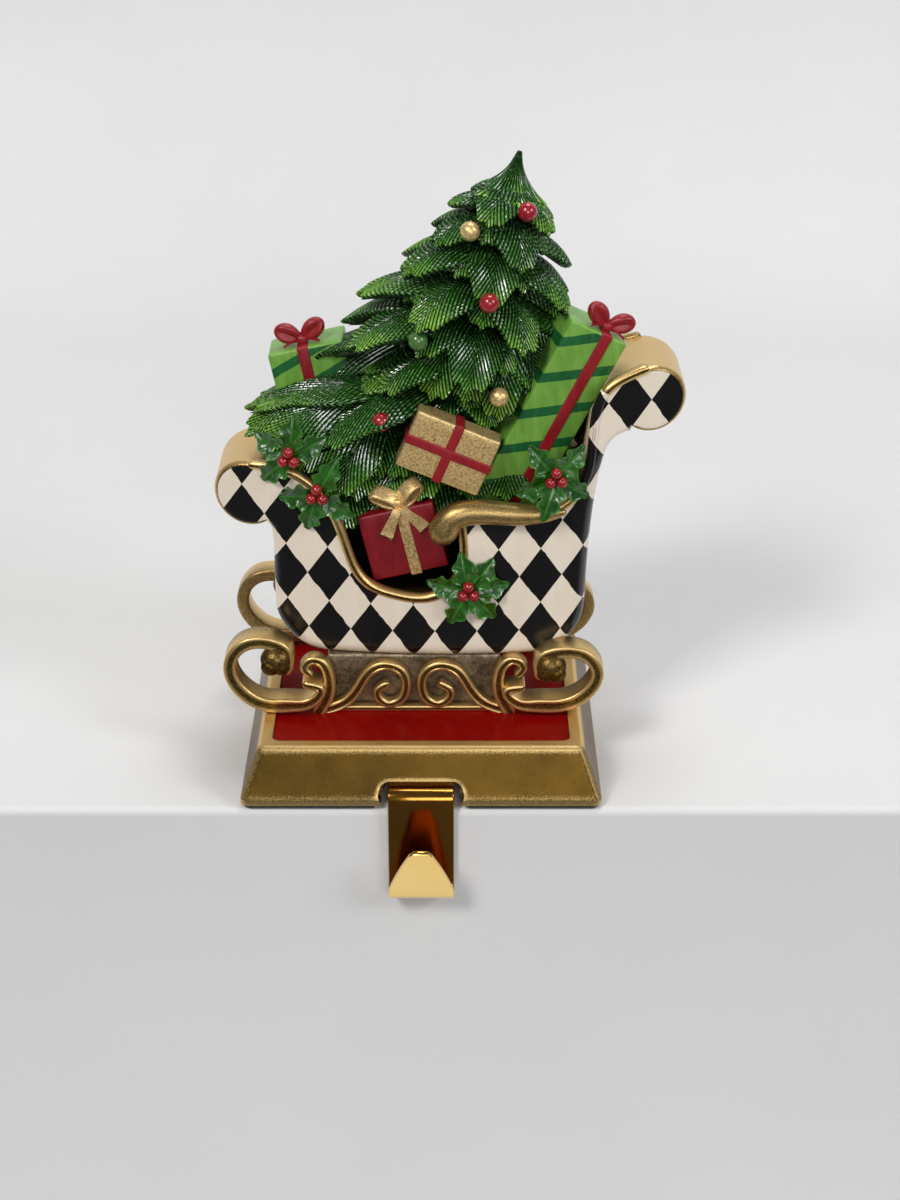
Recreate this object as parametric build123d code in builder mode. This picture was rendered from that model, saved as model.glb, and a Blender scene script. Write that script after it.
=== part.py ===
from build123d import *
import os
from math import atan2, cos, degrees, pi, radians, sin, sqrt, tan

os.makedirs("parts", exist_ok=True)

# Mantel stocking holder: a weighted base with a hanging hook, and on it a cast sleigh that
# carries a fir tree, gifts and holly. Millimetres, +Z up, the front faces -Y.
# Z = 0 is the top of the mantel shelf and X = Y = 0 is the middle of the base.

# Felt pad
PAD_THICKNESS = 1.6
PAD_INSET = 0.8

# Base casting
BASE_WIDTH = 127.0
BASE_DEPTH = 114.0
BASE_HEIGHT = 20.0
BASE_LIP = 2.0
BASE_BEVEL = 6.5
BASE_CORNER = 3.0
RIM_WIDTH = 4.5
RIM_BREAK = 0.9
FIELD_DEPTH = 1.6
ENAMEL_THICKNESS = 0.8

# Hook, bent from one strip, and the channel that takes its tang
HOOK_WIDTH = 23.2
HOOK_THICKNESS = 1.5
HOOK_STANDOFF = 0.5
HOOK_DROP = 32.5
HOOK_BEND = 3.0
HOOK_CUP = 2.8
TONGUE_LENGTH = 24.0
TONGUE_LEAN = 22.0
TONGUE_TIP = 7.0
TONGUE_TAPER = 20.0
TONGUE_BULGE = 0.6
TANG_LENGTH = 34.0
CHANNEL_CLEARANCE = 0.6
CHANNEL_END_GAP = 3.0
CHANNEL_HEIGHT = 6.4
CHANNEL_FLARE = 2.2
MOUTH_WIDTH = 27.6
MOUTH_FLARE = 2.6
MOUTH_RISE = 2.0
MOUTH_DEPTH = 5.6
MOUTH_CORNER = 3.5

# Hook screws
SCREW_DIAMETER = 3.0
SCREW_CLEARANCE = 0.2
SCREW_DEPTH = 7.0
SCREW_HEAD = 5.6
SCREW_HEAD_HEIGHT = 1.7
SCREW_INSET = 8.0
SCREW_PITCH = 14.0

# Sleigh centre line, and the pedestal between the runners
SLEIGH_X = -2.8
SLEIGH_Y = 8.0
PEDESTAL_LENGTH = 62.0
PEDESTAL_DEPTH = 50.0
PEDESTAL_HEIGHT = 21.2

# Runner scrollwork
SCROLL_DEPTH = 10.0
SCROLL_PROUD = 9.0
SCROLL_STRIP = 5.0
SCROLL_EYE = 2.8
RING_FOOT = 5.6
RING_SIDE = 4.4
KNOB_RADIUS = 5.2
KNOB_INSET = 1.5
RING_LEFT = 1.0
RING_RIGHT = 0.85
CURL_DEPTH = 6.0
VOLUTE_DEPTH = 5.0
VOLUTE_STRIP = 4.2
BAR_HEIGHT = 2.2
BAR_LENGTH = 68.0

# Sleigh tub
TUB_WALL = 3.4
TUB_FLOOR = 21.0
TUB_HALF_DEPTH = 28.0
TUB_END_HALF_DEPTH = 13.0
TUB_PLAN_X = 12.0
TUB_PLAN_HALF_LENGTH = 87.0
TUB_FRONT = 49.5
TUB_BACK = 61.0
TUB_LEAN = 8.4
TUB_CORNER = 18.5
TUB_EDGE = 9.0
TUB_FRONT_HEIGHT = 71.0
TUB_BACK_HEIGHT = 104.0
FRONT_ROLL_X = 58.2
FRONT_ROLL_Z = 59.3
FRONT_ROLL = 12.0
BACK_ROLL_X = 83.0
BACK_ROLL_Z = 94.3
BACK_ROLL = 11.8
DOOR_SILL = 24.2
TRIM_WIDTH = 3.2
TRIM_PROUD = 0.8
ARM_RADIUS = 4.2
ARM_HEIGHT = 56.0
ARM_FRONT = 20.0
ARM_LENGTH = 28.0
ARM_CURL = 9.0

# Fir tree
TREE_HEIGHT = 155.5
TREE_APEX_X = 36.5
TREE_LEAN = 13.0
TREE_TIERS = 8
FIRST_TIER = 14.0
FIRST_REACH = 13.0
TIER_PITCH = 10.0
TIER_GROWTH = 0.6
LOW_TIERS = 6
ROOT_SHARE = 0.12
CORE_SHARE = 0.55
TREE_SPREAD = 0.6
TREE_RIGHT_REACH = 32.0
TREE_FLATTEN = 0.58
BOUGH_DROOP = 20.0
FRONT_DROOP = 16.0
INNER_TIERS = 2
INNER_SHARE = 0.72
INNER_LIFT = 5.0
BOUGH_THICKNESS = 5.0
MOUND_LENGTH = 56.0
MOUND_DEPTH = 26.0
SKIRT_BOUGHS = 4
SKIRT_REACH = 8.0
BAUBLE = 3.8

# Gifts: width, depth and height of each box
TALL_GIFT = (22.0, 19.0, 84.0)
SMALL_GIFT = (27.0, 18.0, 21.0)
RED_GIFT = (27.2, 15.0, 25.0)
GOLD_GIFT = (30.6, 10.0, 21.5)
GIFT_EDGE = 0.8
RIBBON_PROUD = 0.5

# Holly
LEAF_LENGTH = 13.5
LEAF_WIDTH = 8.6
LEAF_THICKNESS = 1.8
BERRY = 2.0
SPRIG_SEAT = 0.6

# Levels and faces that follow from the sizes above
BASE_TOP = PAD_THICKNESS + BASE_HEIGHT
FIELD_Z = BASE_TOP - FIELD_DEPTH
TUB_Z = FIELD_Z + PEDESTAL_HEIGHT
BASE_FRONT = BASE_DEPTH / 2
CHANNEL_WIDTH = HOOK_WIDTH + 2 * CHANNEL_CLEARANCE
CHANNEL_CEILING = PAD_THICKNESS + CHANNEL_HEIGHT
CHANNEL_LENGTH = TANG_LENGTH + CHANNEL_END_GAP
PEDESTAL_FRONT = SLEIGH_Y - PEDESTAL_DEPTH / 2
PLAN_SAG = TUB_HALF_DEPTH - TUB_END_HALF_DEPTH
PLAN_RADIUS = (TUB_PLAN_HALF_LENGTH**2 + PLAN_SAG**2) / (2 * PLAN_SAG)


def front_plane(y, z):
    """Upright plane that faces the front, at a depth and height, centred on the sleigh's middle."""
    return Plane((SLEIGH_X, y, z), x_dir=(1, 0, 0), z_dir=(0, -1, 0))


def side_y(x):
    """Depth of the tub's near side at a place along the sleigh."""
    drop = PLAN_RADIUS - sqrt(PLAN_RADIUS**2 - (x - TUB_PLAN_X) ** 2)
    return SLEIGH_Y - TUB_HALF_DEPTH + drop


def band_outline(points, widths, steps):
    """Corners of a strip along a smooth line, with steps between its points and widths spread along it."""
    line = Edge.make_spline([Vector(x, z) for x, z in points])
    stops = [line.param_at_point(Vector(x, z)) for x, z in points]
    places = []
    for start, stop in zip(stops, stops[1:]):
        places += [start + (stop - start) * k / steps for k in range(steps)]
    places.append(1)
    near, far = [], []
    for i, place in enumerate(places):
        share = (len(widths) - 1) * i / (len(places) - 1)
        k = min(int(share), len(widths) - 2)
        half = (widths[k] + (widths[k + 1] - widths[k]) * (share - k)) / 2
        run = line.tangent_at(place)
        across = Vector(-run.Y, run.X) * half
        near.append(line.position_at(place) + across)
        far.append(line.position_at(place) - across)
    return near + far[::-1]


def ridged_leaf(root, tip, up, width, thickness, half_outline):
    """A leaf-shaped solid with a flat back and a raised middle rib. The outline is in shares of its size."""
    along = tip - root
    length = along.length
    along = along.normalized()
    side = up.cross(along).normalized()
    lift = along.cross(side)

    def place(u, v, w):
        return root + along * (u * length) + side * (v * width) + lift * (w * thickness)

    left = [place(u, v, 0) for u, v in half_outline]
    right = [place(u, -v, 0) for u, v in half_outline]
    point = place(1, 0, 0)
    heel = place(0, 0, 0.7)
    crest = place(0.6, 0, 1)
    corners = [(left[0], heel, right[0])]
    for edge in (left, right):
        rim = edge + [point]
        corners.append((rim[0], rim[1], crest))
        corners.append((rim[0], crest, heel))
        for first, second in zip(rim[1:], rim[2:]):
            corners.append((first, second, crest))
    faces = [Face(Wire.make_polygon(list(three))) for three in corners]
    faces.append(Face(Wire.make_polygon(left + [point] + right[::-1])))
    return Solid(Shell(faces))


def bead(centre, radius, sides):
    """A small faceted ball."""
    rings = []
    for level in (-0.92, -0.38, 0.38, 0.92):
        width = radius * sqrt(1 - level**2)
        turns = [2 * pi * k / sides for k in range(sides)]
        rings.append([centre + Vector(width * cos(t), width * sin(t), level * radius) for t in turns])
    faces = [Face(Wire.make_polygon(rings[0])), Face(Wire.make_polygon(rings[-1]))]
    for low, high in zip(rings, rings[1:]):
        for k in range(sides):
            faces.append(Face(Wire.make_polygon([low[k - 1], low[k], high[k], high[k - 1]])))
    return Solid(Shell(faces))


def largest(shape):
    """The main body of a cut piece, without crumbs that the cut left loose."""
    return shape.solids().sort_by(SortBy.VOLUME)[-1]


# Base casting: bevelled block with a sunk field on top, and the hook's channel underneath with its
# wider mouth in the front face
with BuildPart() as block:
    with BuildSketch(Plane.XY.offset(PAD_THICKNESS + BASE_LIP)):
        Rectangle(BASE_WIDTH, BASE_DEPTH)
    extrude(amount=BASE_HEIGHT - BASE_LIP, taper=degrees(atan2(BASE_BEVEL, BASE_HEIGHT - BASE_LIP)))
    fillet(block.edges().filter_by(lambda edge: abs(edge.tangent_at(0.5).Z) > 0.5), BASE_CORNER)
    chamfer(block.faces().sort_by(Axis.Z)[-1].edges(), RIM_BREAK)
with BuildPart() as base_casting:
    with BuildSketch(Plane.XY.offset(PAD_THICKNESS)):
        RectangleRounded(BASE_WIDTH, BASE_DEPTH, BASE_CORNER)
    extrude(amount=BASE_LIP)
    add(block.part)
    field_inset = 2 * (BASE_BEVEL + RIM_WIDTH)
    with BuildSketch(Plane.XY.offset(BASE_TOP)):
        RectangleRounded(BASE_WIDTH - field_inset, BASE_DEPTH - field_inset, BASE_CORNER)
    extrude(amount=-FIELD_DEPTH - ENAMEL_THICKNESS, mode=Mode.SUBTRACT)
    with BuildSketch(Plane.XZ.offset(BASE_FRONT)):
        with BuildLine():
            Polyline(
                (-CHANNEL_WIDTH / 2 - CHANNEL_FLARE, PAD_THICKNESS),
                (-CHANNEL_WIDTH / 2, CHANNEL_CEILING),
                (CHANNEL_WIDTH / 2, CHANNEL_CEILING),
                (CHANNEL_WIDTH / 2 + CHANNEL_FLARE, PAD_THICKNESS),
                close=True,
            )
        make_face()
    extrude(amount=-CHANNEL_LENGTH, mode=Mode.SUBTRACT)
    with BuildSketch(Plane.XZ.offset(BASE_FRONT)):
        with BuildLine() as mouth:
            Polyline(
                (-MOUTH_WIDTH / 2 - MOUTH_FLARE, PAD_THICKNESS),
                (-MOUTH_WIDTH / 2, CHANNEL_CEILING + MOUTH_RISE),
                (MOUTH_WIDTH / 2, CHANNEL_CEILING + MOUTH_RISE),
                (MOUTH_WIDTH / 2 + MOUTH_FLARE, PAD_THICKNESS),
                close=True,
            )
            fillet(mouth.vertices().group_by(Axis.Z)[-1], MOUTH_CORNER)
        make_face()
    extrude(amount=-MOUTH_DEPTH, mode=Mode.SUBTRACT)
    with BuildSketch(Plane.XY.offset(CHANNEL_CEILING)):
        with Locations((0, SCREW_INSET - BASE_FRONT), (0, SCREW_INSET + SCREW_PITCH - BASE_FRONT)):
            Circle((SCREW_DIAMETER + SCREW_CLEARANCE) / 2)
    extrude(amount=SCREW_DEPTH, mode=Mode.SUBTRACT)
base_casting.part.label = "base_casting"
export_step(base_casting.part, "parts/base_casting.step")

# Enamel that fills the bottom of the sunk field
with BuildPart() as field_enamel:
    with BuildSketch(Plane.XY.offset(FIELD_Z)):
        RectangleRounded(BASE_WIDTH - field_inset, BASE_DEPTH - field_inset, BASE_CORNER)
    extrude(amount=-ENAMEL_THICKNESS)
field_enamel.part.label = "field_enamel"
export_step(field_enamel.part, "parts/field_enamel.step")

# Felt pad, cut away round the channel
with BuildPart() as felt_pad:
    with BuildSketch():
        RectangleRounded(BASE_WIDTH - 2 * PAD_INSET, BASE_DEPTH - 2 * PAD_INSET, BASE_CORNER)
        with Locations((0, -BASE_FRONT)):
            Rectangle(
                MOUTH_WIDTH + 2 * MOUTH_FLARE,
                CHANNEL_LENGTH,
                align=(Align.CENTER, Align.MIN),
                mode=Mode.SUBTRACT,
            )
    extrude(amount=PAD_THICKNESS)
felt_pad.part.label = "felt_pad"
export_step(felt_pad.part, "parts/felt_pad.step")

# Hook: tang in the channel, drop in front of the mantel, rounded cup and a tapered tongue
tang_z = CHANNEL_CEILING - HOOK_THICKNESS / 2
strip_y = -BASE_FRONT - HOOK_STANDOFF - HOOK_THICKNESS / 2
bend_mid = HOOK_BEND + HOOK_THICKNESS / 2
cup_mid = HOOK_CUP + HOOK_THICKNESS / 2
cup_z = HOOK_THICKNESS / 2 + cup_mid - HOOK_DROP
with BuildPart() as hook:
    with BuildSketch(Plane.YZ):
        with BuildLine():
            tang = Line((TANG_LENGTH - BASE_FRONT, tang_z), (strip_y + bend_mid, tang_z))
            over = JernArc(tang @ 1, tang % 1, bend_mid, 90)
            drop = Line(over @ 1, (strip_y, cup_z))
            cup = JernArc(drop @ 1, drop % 1, cup_mid, TONGUE_LEAN - 180)
            tongue = Line(cup @ 1, cup @ 1 + (cup % 1) * TONGUE_LENGTH)
        trace(line_width=HOOK_THICKNESS)
    extrude(amount=HOOK_WIDTH / 2, both=True)
    tip_z = (tongue @ 1).Y
    with BuildSketch(Plane.XZ.offset(-strip_y + HOOK_THICKNESS)):
        for hand in (-1, 1):
            with BuildLine():
                low = Vector(hand * HOOK_WIDTH / 2, tip_z - TONGUE_TAPER)
                high = Vector(hand * TONGUE_TIP / 2, tip_z)
                bulge = (low + high) / 2 + Vector(hand * TONGUE_BULGE, 0)
                ThreePointArc(low, bulge, high)
                Polyline(
                    high,
                    (hand * TONGUE_TIP / 2, tip_z + HOOK_WIDTH),
                    (hand * HOOK_WIDTH, tip_z + HOOK_WIDTH),
                    (hand * HOOK_WIDTH, tip_z - TONGUE_TAPER),
                    low,
                )
            make_face()
    extrude(amount=TONGUE_LENGTH, mode=Mode.SUBTRACT)
    with BuildSketch(Plane.XY.offset(CHANNEL_CEILING)):
        with Locations((0, SCREW_INSET - BASE_FRONT), (0, SCREW_INSET + SCREW_PITCH - BASE_FRONT)):
            Circle((SCREW_DIAMETER + SCREW_CLEARANCE) / 2)
    extrude(amount=-HOOK_THICKNESS, mode=Mode.SUBTRACT)
hook.part.label = "hook"
export_step(hook.part, "parts/hook.step")

# Two screws that hold the tang against the channel's ceiling
with BuildPart() as hook_screws:
    head_top = CHANNEL_CEILING - HOOK_THICKNESS
    for reach in (SCREW_INSET, SCREW_INSET + SCREW_PITCH):
        with BuildSketch(Plane((0, reach - BASE_FRONT, head_top))):
            RegularPolygon(SCREW_HEAD / 2, 6)
        extrude(amount=-SCREW_HEAD_HEIGHT)
        with BuildSketch(Plane((0, reach - BASE_FRONT, head_top))):
            Circle(SCREW_DIAMETER / 2)
        extrude(amount=HOOK_THICKNESS + SCREW_DEPTH - SCREW_CLEARANCE)
hook_screws.part.label = "hook_screws"
export_step(hook_screws.part, "parts/hook_screws.step")

# Pedestal between the runners
with BuildPart() as pedestal:
    with BuildSketch(Plane((SLEIGH_X, SLEIGH_Y, FIELD_Z))):
        Rectangle(PEDESTAL_LENGTH, PEDESTAL_DEPTH)
    extrude(amount=PEDESTAL_HEIGHT)
pedestal.part.label = "pedestal"
export_step(pedestal.part, "parts/pedestal.step")

# Runner: each line runs outwards from the middle. The ring's heights count from where it rests on
# the base's rim, and those of the curl and the volute from the field
ring_line = (
    (38.6, 8.6),
    (33.4, 6.2),
    (36.6, 1.6),
    (44.0, 0.2),
    (52.6, 0.4),
    (62.2, 6.4),
    (65.6, 16.0),
    (61.6, 23.2),
    (53.4, 25.3),
    (45.4, 20.9),
    (45.6, 14.9),
)
knob_spot = (48.4, 17.1)
ring_seat = FIELD_DEPTH + RING_FOOT / 2
curl_line = (
    (34.2, 1.2),
    (31.0, 7.5),
    (30.4, 14.0),
    (32.4, 19.4),
    (36.2, 21.2),
    (39.2, 18.4),
    (37.4, 15.6),
)
volute_line = (
    (31.0, 1.2),
    (25.0, 3.8),
    (19.8, 10.0),
    (15.8, 16.2),
    (10.0, 18.7),
    (4.0, 15.6),
    (2.8, 10.0),
    (5.2, 4.6),
    (10.4, 3.6),
    (13.2, 8.2),
    (10.0, 11.0),
)
strips = (
    (ring_line, (SCROLL_EYE, RING_FOOT, RING_SIDE, SCROLL_STRIP), SCROLL_PROUD, SCROLL_DEPTH),
    (curl_line, (SCROLL_STRIP, SCROLL_EYE), CURL_DEPTH, CURL_DEPTH),
    (volute_line, (VOLUTE_STRIP, SCROLL_EYE), VOLUTE_DEPTH, VOLUTE_DEPTH),
)
with BuildPart() as runner_near:
    with BuildSketch(front_plane(PEDESTAL_FRONT, FIELD_Z)):
        Rectangle(BAR_LENGTH, BAR_HEIGHT, align=(Align.CENTER, Align.MIN))
    extrude(amount=VOLUTE_DEPTH - SCROLL_EYE / 2)
    for hand, rise in ((-1, RING_LEFT), (1, RING_RIGHT)):
        for line, widths, proud, depth in strips:
            if line is ring_line:
                line = [(x, ring_seat + rise * z) for x, z in line]
            outline = band_outline([(hand * x, z) for x, z in line], widths, 2)
            with BuildSketch(front_plane(PEDESTAL_FRONT - proud, FIELD_Z)):
                Polygon(outline, align=None)
            extrude(amount=-depth)
        with BuildSketch(front_plane(PEDESTAL_FRONT - SCROLL_PROUD + KNOB_INSET, FIELD_Z)):
            with Locations((hand * knob_spot[0], ring_seat + rise * knob_spot[1])):
                Circle(KNOB_RADIUS)
        extrude(amount=2 * KNOB_INSET - SCROLL_DEPTH)
    split(bisect_by=Plane.XY.offset(FIELD_Z), keep=Keep.TOP)
runner_near.part.label = "runner_near"
export_step(runner_near.part, "parts/runner_near.step")

# The far runner is the same casting turned to face the other way
with BuildPart() as runner_far:
    middle_plane = Plane((0, SLEIGH_Y, 0), x_dir=(1, 0, 0), z_dir=(0, 1, 0))
    add(mirror(runner_near.part, about=middle_plane, mode=Mode.PRIVATE))
runner_far.part.label = "runner_far"
export_step(runner_far.part, "parts/runner_far.step")


def boat_plan(extra, rounding):
    """Solid with the tub's boat-shaped plan, wider by extra on each side, its long lower edges rounded."""
    middle = TUB_HALF_DEPTH + extra
    end = TUB_END_HALF_DEPTH + extra
    near = TUB_PLAN_X - TUB_PLAN_HALF_LENGTH
    far = TUB_PLAN_X + TUB_PLAN_HALF_LENGTH
    with BuildPart() as plan:
        with BuildSketch(Plane((SLEIGH_X, SLEIGH_Y, TUB_Z))):
            with BuildLine():
                ThreePointArc((near, -end), (TUB_PLAN_X, -middle), (far, -end))
                Line((far, -end), (far, end))
                ThreePointArc((far, end), (TUB_PLAN_X, middle), (near, end))
                Line((near, end), (near, -end))
            make_face()
        extrude(amount=TUB_BACK_HEIGHT + 4 * BACK_ROLL)
        if rounding:
            long_edges = plan.faces().sort_by(Axis.Z)[0].edges().sort_by(SortBy.LENGTH)[-2:]
            chamfer(long_edges, rounding, rounding / 2)
    return plan.part


# Sleigh tub. Its body: a side profile cut to the boat plan
side_plane = front_plane(SLEIGH_Y, TUB_Z)
back_top = TUB_BACK + TUB_LEAN
with BuildPart() as tub_body:
    with BuildSketch(side_plane):
        with BuildLine():
            Line((TUB_CORNER - TUB_FRONT, 0), (TUB_BACK - TUB_CORNER, 0))
            TangentArc((TUB_BACK - TUB_CORNER, 0), (TUB_BACK, TUB_CORNER), tangent=(1, 0))
            TangentArc((TUB_BACK, TUB_CORNER), (back_top, TUB_BACK_HEIGHT), tangent=(0, 1))
            Line((back_top, TUB_BACK_HEIGHT), (-TUB_FRONT, TUB_FRONT_HEIGHT))
            Line((-TUB_FRONT, TUB_FRONT_HEIGHT), (-TUB_FRONT, TUB_CORNER))
            TangentArc((-TUB_FRONT, TUB_CORNER), (TUB_CORNER - TUB_FRONT, 0), tangent=(0, -1))
        make_face()
    extrude(amount=2 * TUB_HALF_DEPTH, both=True)
    add(boat_plan(0, TUB_EDGE), mode=Mode.INTERSECT)

# Rolled ends and the necks that join them to the body
with BuildPart() as rolls:
    with BuildSketch(side_plane):
        with Locations((-FRONT_ROLL_X, FRONT_ROLL_Z)):
            Circle(FRONT_ROLL)
        with Locations((BACK_ROLL_X, BACK_ROLL_Z)):
            Circle(BACK_ROLL)
        with BuildLine():
            Polyline(
                (-FRONT_ROLL_X, FRONT_ROLL_Z - FRONT_ROLL),
                (TUB_WALL - TUB_FRONT, FRONT_ROLL_Z - FRONT_ROLL),
                (TUB_WALL - TUB_FRONT, TUB_FRONT_HEIGHT),
                (-FRONT_ROLL_X, FRONT_ROLL_Z + FRONT_ROLL),
                close=True,
            )
        make_face()
        with BuildLine():
            Polyline(
                (BACK_ROLL_X, BACK_ROLL_Z - BACK_ROLL),
                (back_top - TUB_WALL, BACK_ROLL_Z - BACK_ROLL),
                (back_top - TUB_WALL, TUB_BACK_HEIGHT),
                (BACK_ROLL_X, BACK_ROLL_Z + BACK_ROLL),
                close=True,
            )
        make_face()
    extrude(amount=2 * TUB_HALF_DEPTH, both=True)
    add(boat_plan(0, 0), mode=Mode.INTERSECT)

# Hollow of the tub, open upwards
with BuildPart() as hollow:
    with BuildSketch(side_plane):
        inner_front = TUB_WALL - TUB_FRONT
        inner_back = TUB_BACK - TUB_WALL
        headroom = TUB_BACK_HEIGHT + 3 * BACK_ROLL
        with BuildLine():
            Polyline(
                (inner_front, TUB_FLOOR + TUB_EDGE),
                (inner_front + TUB_EDGE, TUB_FLOOR),
                (inner_back - TUB_EDGE, TUB_FLOOR),
                (inner_back, TUB_FLOOR + 2 * TUB_EDGE),
                (inner_back + TUB_LEAN - TUB_WALL, BACK_ROLL_Z - BACK_ROLL),
            )
            ThreePointArc(
                (inner_back + TUB_LEAN - TUB_WALL, BACK_ROLL_Z - BACK_ROLL),
                (back_top - TUB_WALL, BACK_ROLL_Z + 0.3 * BACK_ROLL),
                (BACK_ROLL_X - 0.5 * BACK_ROLL, BACK_ROLL_Z + BACK_ROLL),
            )
            Polyline(
                (BACK_ROLL_X - 0.5 * BACK_ROLL, BACK_ROLL_Z + BACK_ROLL),
                (BACK_ROLL_X - 0.5 * BACK_ROLL, headroom),
                (-FRONT_ROLL_X + 0.4 * FRONT_ROLL, headroom),
                (-FRONT_ROLL_X + 0.4 * FRONT_ROLL, FRONT_ROLL_Z + FRONT_ROLL),
            )
            ThreePointArc(
                (-FRONT_ROLL_X + 0.4 * FRONT_ROLL, FRONT_ROLL_Z + FRONT_ROLL),
                (inner_front - 1.5, FRONT_ROLL_Z + 0.3 * FRONT_ROLL),
                (inner_front, FRONT_ROLL_Z - FRONT_ROLL),
            )
            Line((inner_front, FRONT_ROLL_Z - FRONT_ROLL), (inner_front, TUB_FLOOR + TUB_EDGE))
        make_face()
    extrude(amount=2 * TUB_HALF_DEPTH, both=True)
    add(boat_plan(-TUB_WALL, 0), mode=Mode.INTERSECT)

# Top edge of the side panels: down from the front roll, along the door sill, up behind the arm
# and then up the back to the other roll
front_rim = (
    (-FRONT_ROLL_X + 0.2 * FRONT_ROLL, FRONT_ROLL_Z + FRONT_ROLL - TRIM_PROUD),
    (-40.0, 67.5),
    (-31.0, 59.5),
    (-24.6, 45.5),
    (-16.6, DOOR_SILL + 4.4),
    (-6.0, DOOR_SILL),
    (8.0, DOOR_SILL),
    (15.6, DOOR_SILL + 7.0),
    (17.0, ARM_HEIGHT - ARM_RADIUS),
)
back_rim = (
    (17.0, ARM_HEIGHT),
    (32.0, ARM_HEIGHT - 1.0),
    (46.0, ARM_HEIGHT - 1.4),
    (56.0, ARM_HEIGHT + 4.0),
    (62.0, ARM_HEIGHT + 20.0),
    (67.0, BACK_ROLL_Z + 0.4 * BACK_ROLL),
    (BACK_ROLL_X - 0.3 * BACK_ROLL, BACK_ROLL_Z + BACK_ROLL - TRIM_PROUD),
)
with BuildPart() as above_rim:
    with BuildSketch(side_plane):
        edge = []
        for rim_line in (front_rim, back_rim):
            outline = band_outline(rim_line, (0, 0), 2)
            edge += outline[: len(outline) // 2]
        Polygon(edge + [(back_rim[-1][0], headroom), (front_rim[0][0], headroom)], align=None)
    extrude(amount=2 * TUB_HALF_DEPTH, both=True)

# Raised trim along that edge
with BuildPart() as trim:
    for rim_line in (front_rim, back_rim):
        with BuildSketch(side_plane):
            Polygon(band_outline(rim_line, (TRIM_WIDTH, TRIM_WIDTH), 2), align=None)
        extrude(amount=2 * TUB_HALF_DEPTH, both=True)
    add(boat_plan(TRIM_PROUD, 0), mode=Mode.INTERSECT)
    add(boat_plan(-TUB_WALL - TRIM_PROUD / 2, 0), mode=Mode.SUBTRACT)

# Arm scrolls: a stout rail along each side that curls down at its front end
with BuildPart() as arms:
    for hand in (-1, 1):
        rail_y = SLEIGH_Y + hand * (SLEIGH_Y - side_y(ARM_FRONT))
        with BuildPart(mode=Mode.PRIVATE) as arm:
            with BuildSketch(front_plane(rail_y, TUB_Z)):
                with BuildLine():
                    rail = Line((ARM_FRONT + ARM_LENGTH, ARM_HEIGHT), (ARM_FRONT, ARM_HEIGHT))
                    curl = JernArc(rail @ 1, rail % 1, ARM_CURL, 80)
                trace(line_width=2 * ARM_RADIUS)
            extrude(amount=ARM_RADIUS, both=True)
            chamfer(arm.faces().filter_by(Axis.Y).edges(), 0.4 * ARM_RADIUS)
        add(arm.part)

with BuildPart() as tub_shell:
    add(tub_body.part)
    add(rolls.part)
    add(hollow.part, mode=Mode.SUBTRACT)
    add(above_rim.part, mode=Mode.SUBTRACT)
with BuildPart() as sleigh_tub:
    add(trim.part)
    add(arms.part)
    add(tub_shell.part)
sleigh_tub.part.label = "sleigh_tub"
export_step(sleigh_tub.part, "parts/sleigh_tub.step")


def gift_plane(x, z, front, depth, turn, yaw):
    """Plane in the middle of a box whose front face is at a depth and which leans over sideways."""
    lean = radians(turn)
    middle = (SLEIGH_X + x, front + depth / 2, TUB_Z + z)
    upright = Plane(middle, x_dir=(cos(lean), 0, -sin(lean)), z_dir=(sin(lean), 0, cos(lean)))
    return upright.rotated((0, 0, yaw))


def wrapped_box(plane, size, ribbon, shift, crossed):
    """A box with a ribbon round it, and a second one across if it is tied both ways."""
    width, depth, height = size
    with BuildPart(plane) as box:
        Box(width, depth, height)
        chamfer(box.edges(), GIFT_EDGE)
        with Locations((shift, 0, 0)):
            Box(ribbon, depth + 2 * RIBBON_PROUD, height + 2 * RIBBON_PROUD)
        if crossed:
            Box(width + 2 * RIBBON_PROUD, depth + 2 * RIBBON_PROUD, ribbon)
    return box.part


def draw_loop(half_width, half_height, mode):
    """A flattened loop of ribbon seen from its end."""
    turns = [2 * pi * k / 12 for k in range(12)]
    Polygon([(half_width * cos(t), half_height * sin(t)) for t in turns], align=None, mode=mode)


def bow(plane, size, shift, forward, span, width):
    """Two plump loops and a knot that stand on the top of a box."""
    top = plane.from_local_coords((shift, -forward, size[2] / 2))
    with BuildPart() as tied:
        with BuildSketch(Plane(top, x_dir=plane.x_dir, z_dir=-plane.y_dir)):
            for hand in (-1, 1):
                with Locations(Location((hand * span * 0.27, span * 0.16), hand * 20)):
                    draw_loop(span * 0.26, span * 0.14, Mode.ADD)
                    draw_loop(span * 0.13, span * 0.035, Mode.SUBTRACT)
            with Locations((0, span * 0.09)):
                RegularPolygon(span * 0.12, 8)
        extrude(amount=width / 2, both=True)
    return tied.part


# Gifts, each leaning as it was dropped in
tall_plane = gift_plane(43.6, 81.0, -8.0, TALL_GIFT[1], 27.0, 10.0)
small_plane = gift_plane(-35.8, 95.7, 11.0, SMALL_GIFT[1], -12.0, 0.0)
red_plane = gift_plane(-3.6, 42.4, -13.6, RED_GIFT[1], -13.3, 0.0)
gold_plane = gift_plane(12.3, 77.8, -19.0, GOLD_GIFT[1], 23.0, 0.0)

with BuildPart() as gift_tall:
    add(wrapped_box(tall_plane, TALL_GIFT, 4.0, 3.0, False))
    add(bow(tall_plane, TALL_GIFT, 3.0, 4.0, 19.0, 4.0))
gift_tall.part.label = "gift_tall"
export_step(gift_tall.part, "parts/gift_tall.step")

with BuildPart() as gift_small:
    add(wrapped_box(small_plane, SMALL_GIFT, 4.0, -1.0, False))
    add(bow(small_plane, SMALL_GIFT, -1.0, 3.0, 19.0, 4.0))
gift_small.part.label = "gift_small"
export_step(gift_small.part, "parts/gift_small.step")

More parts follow.
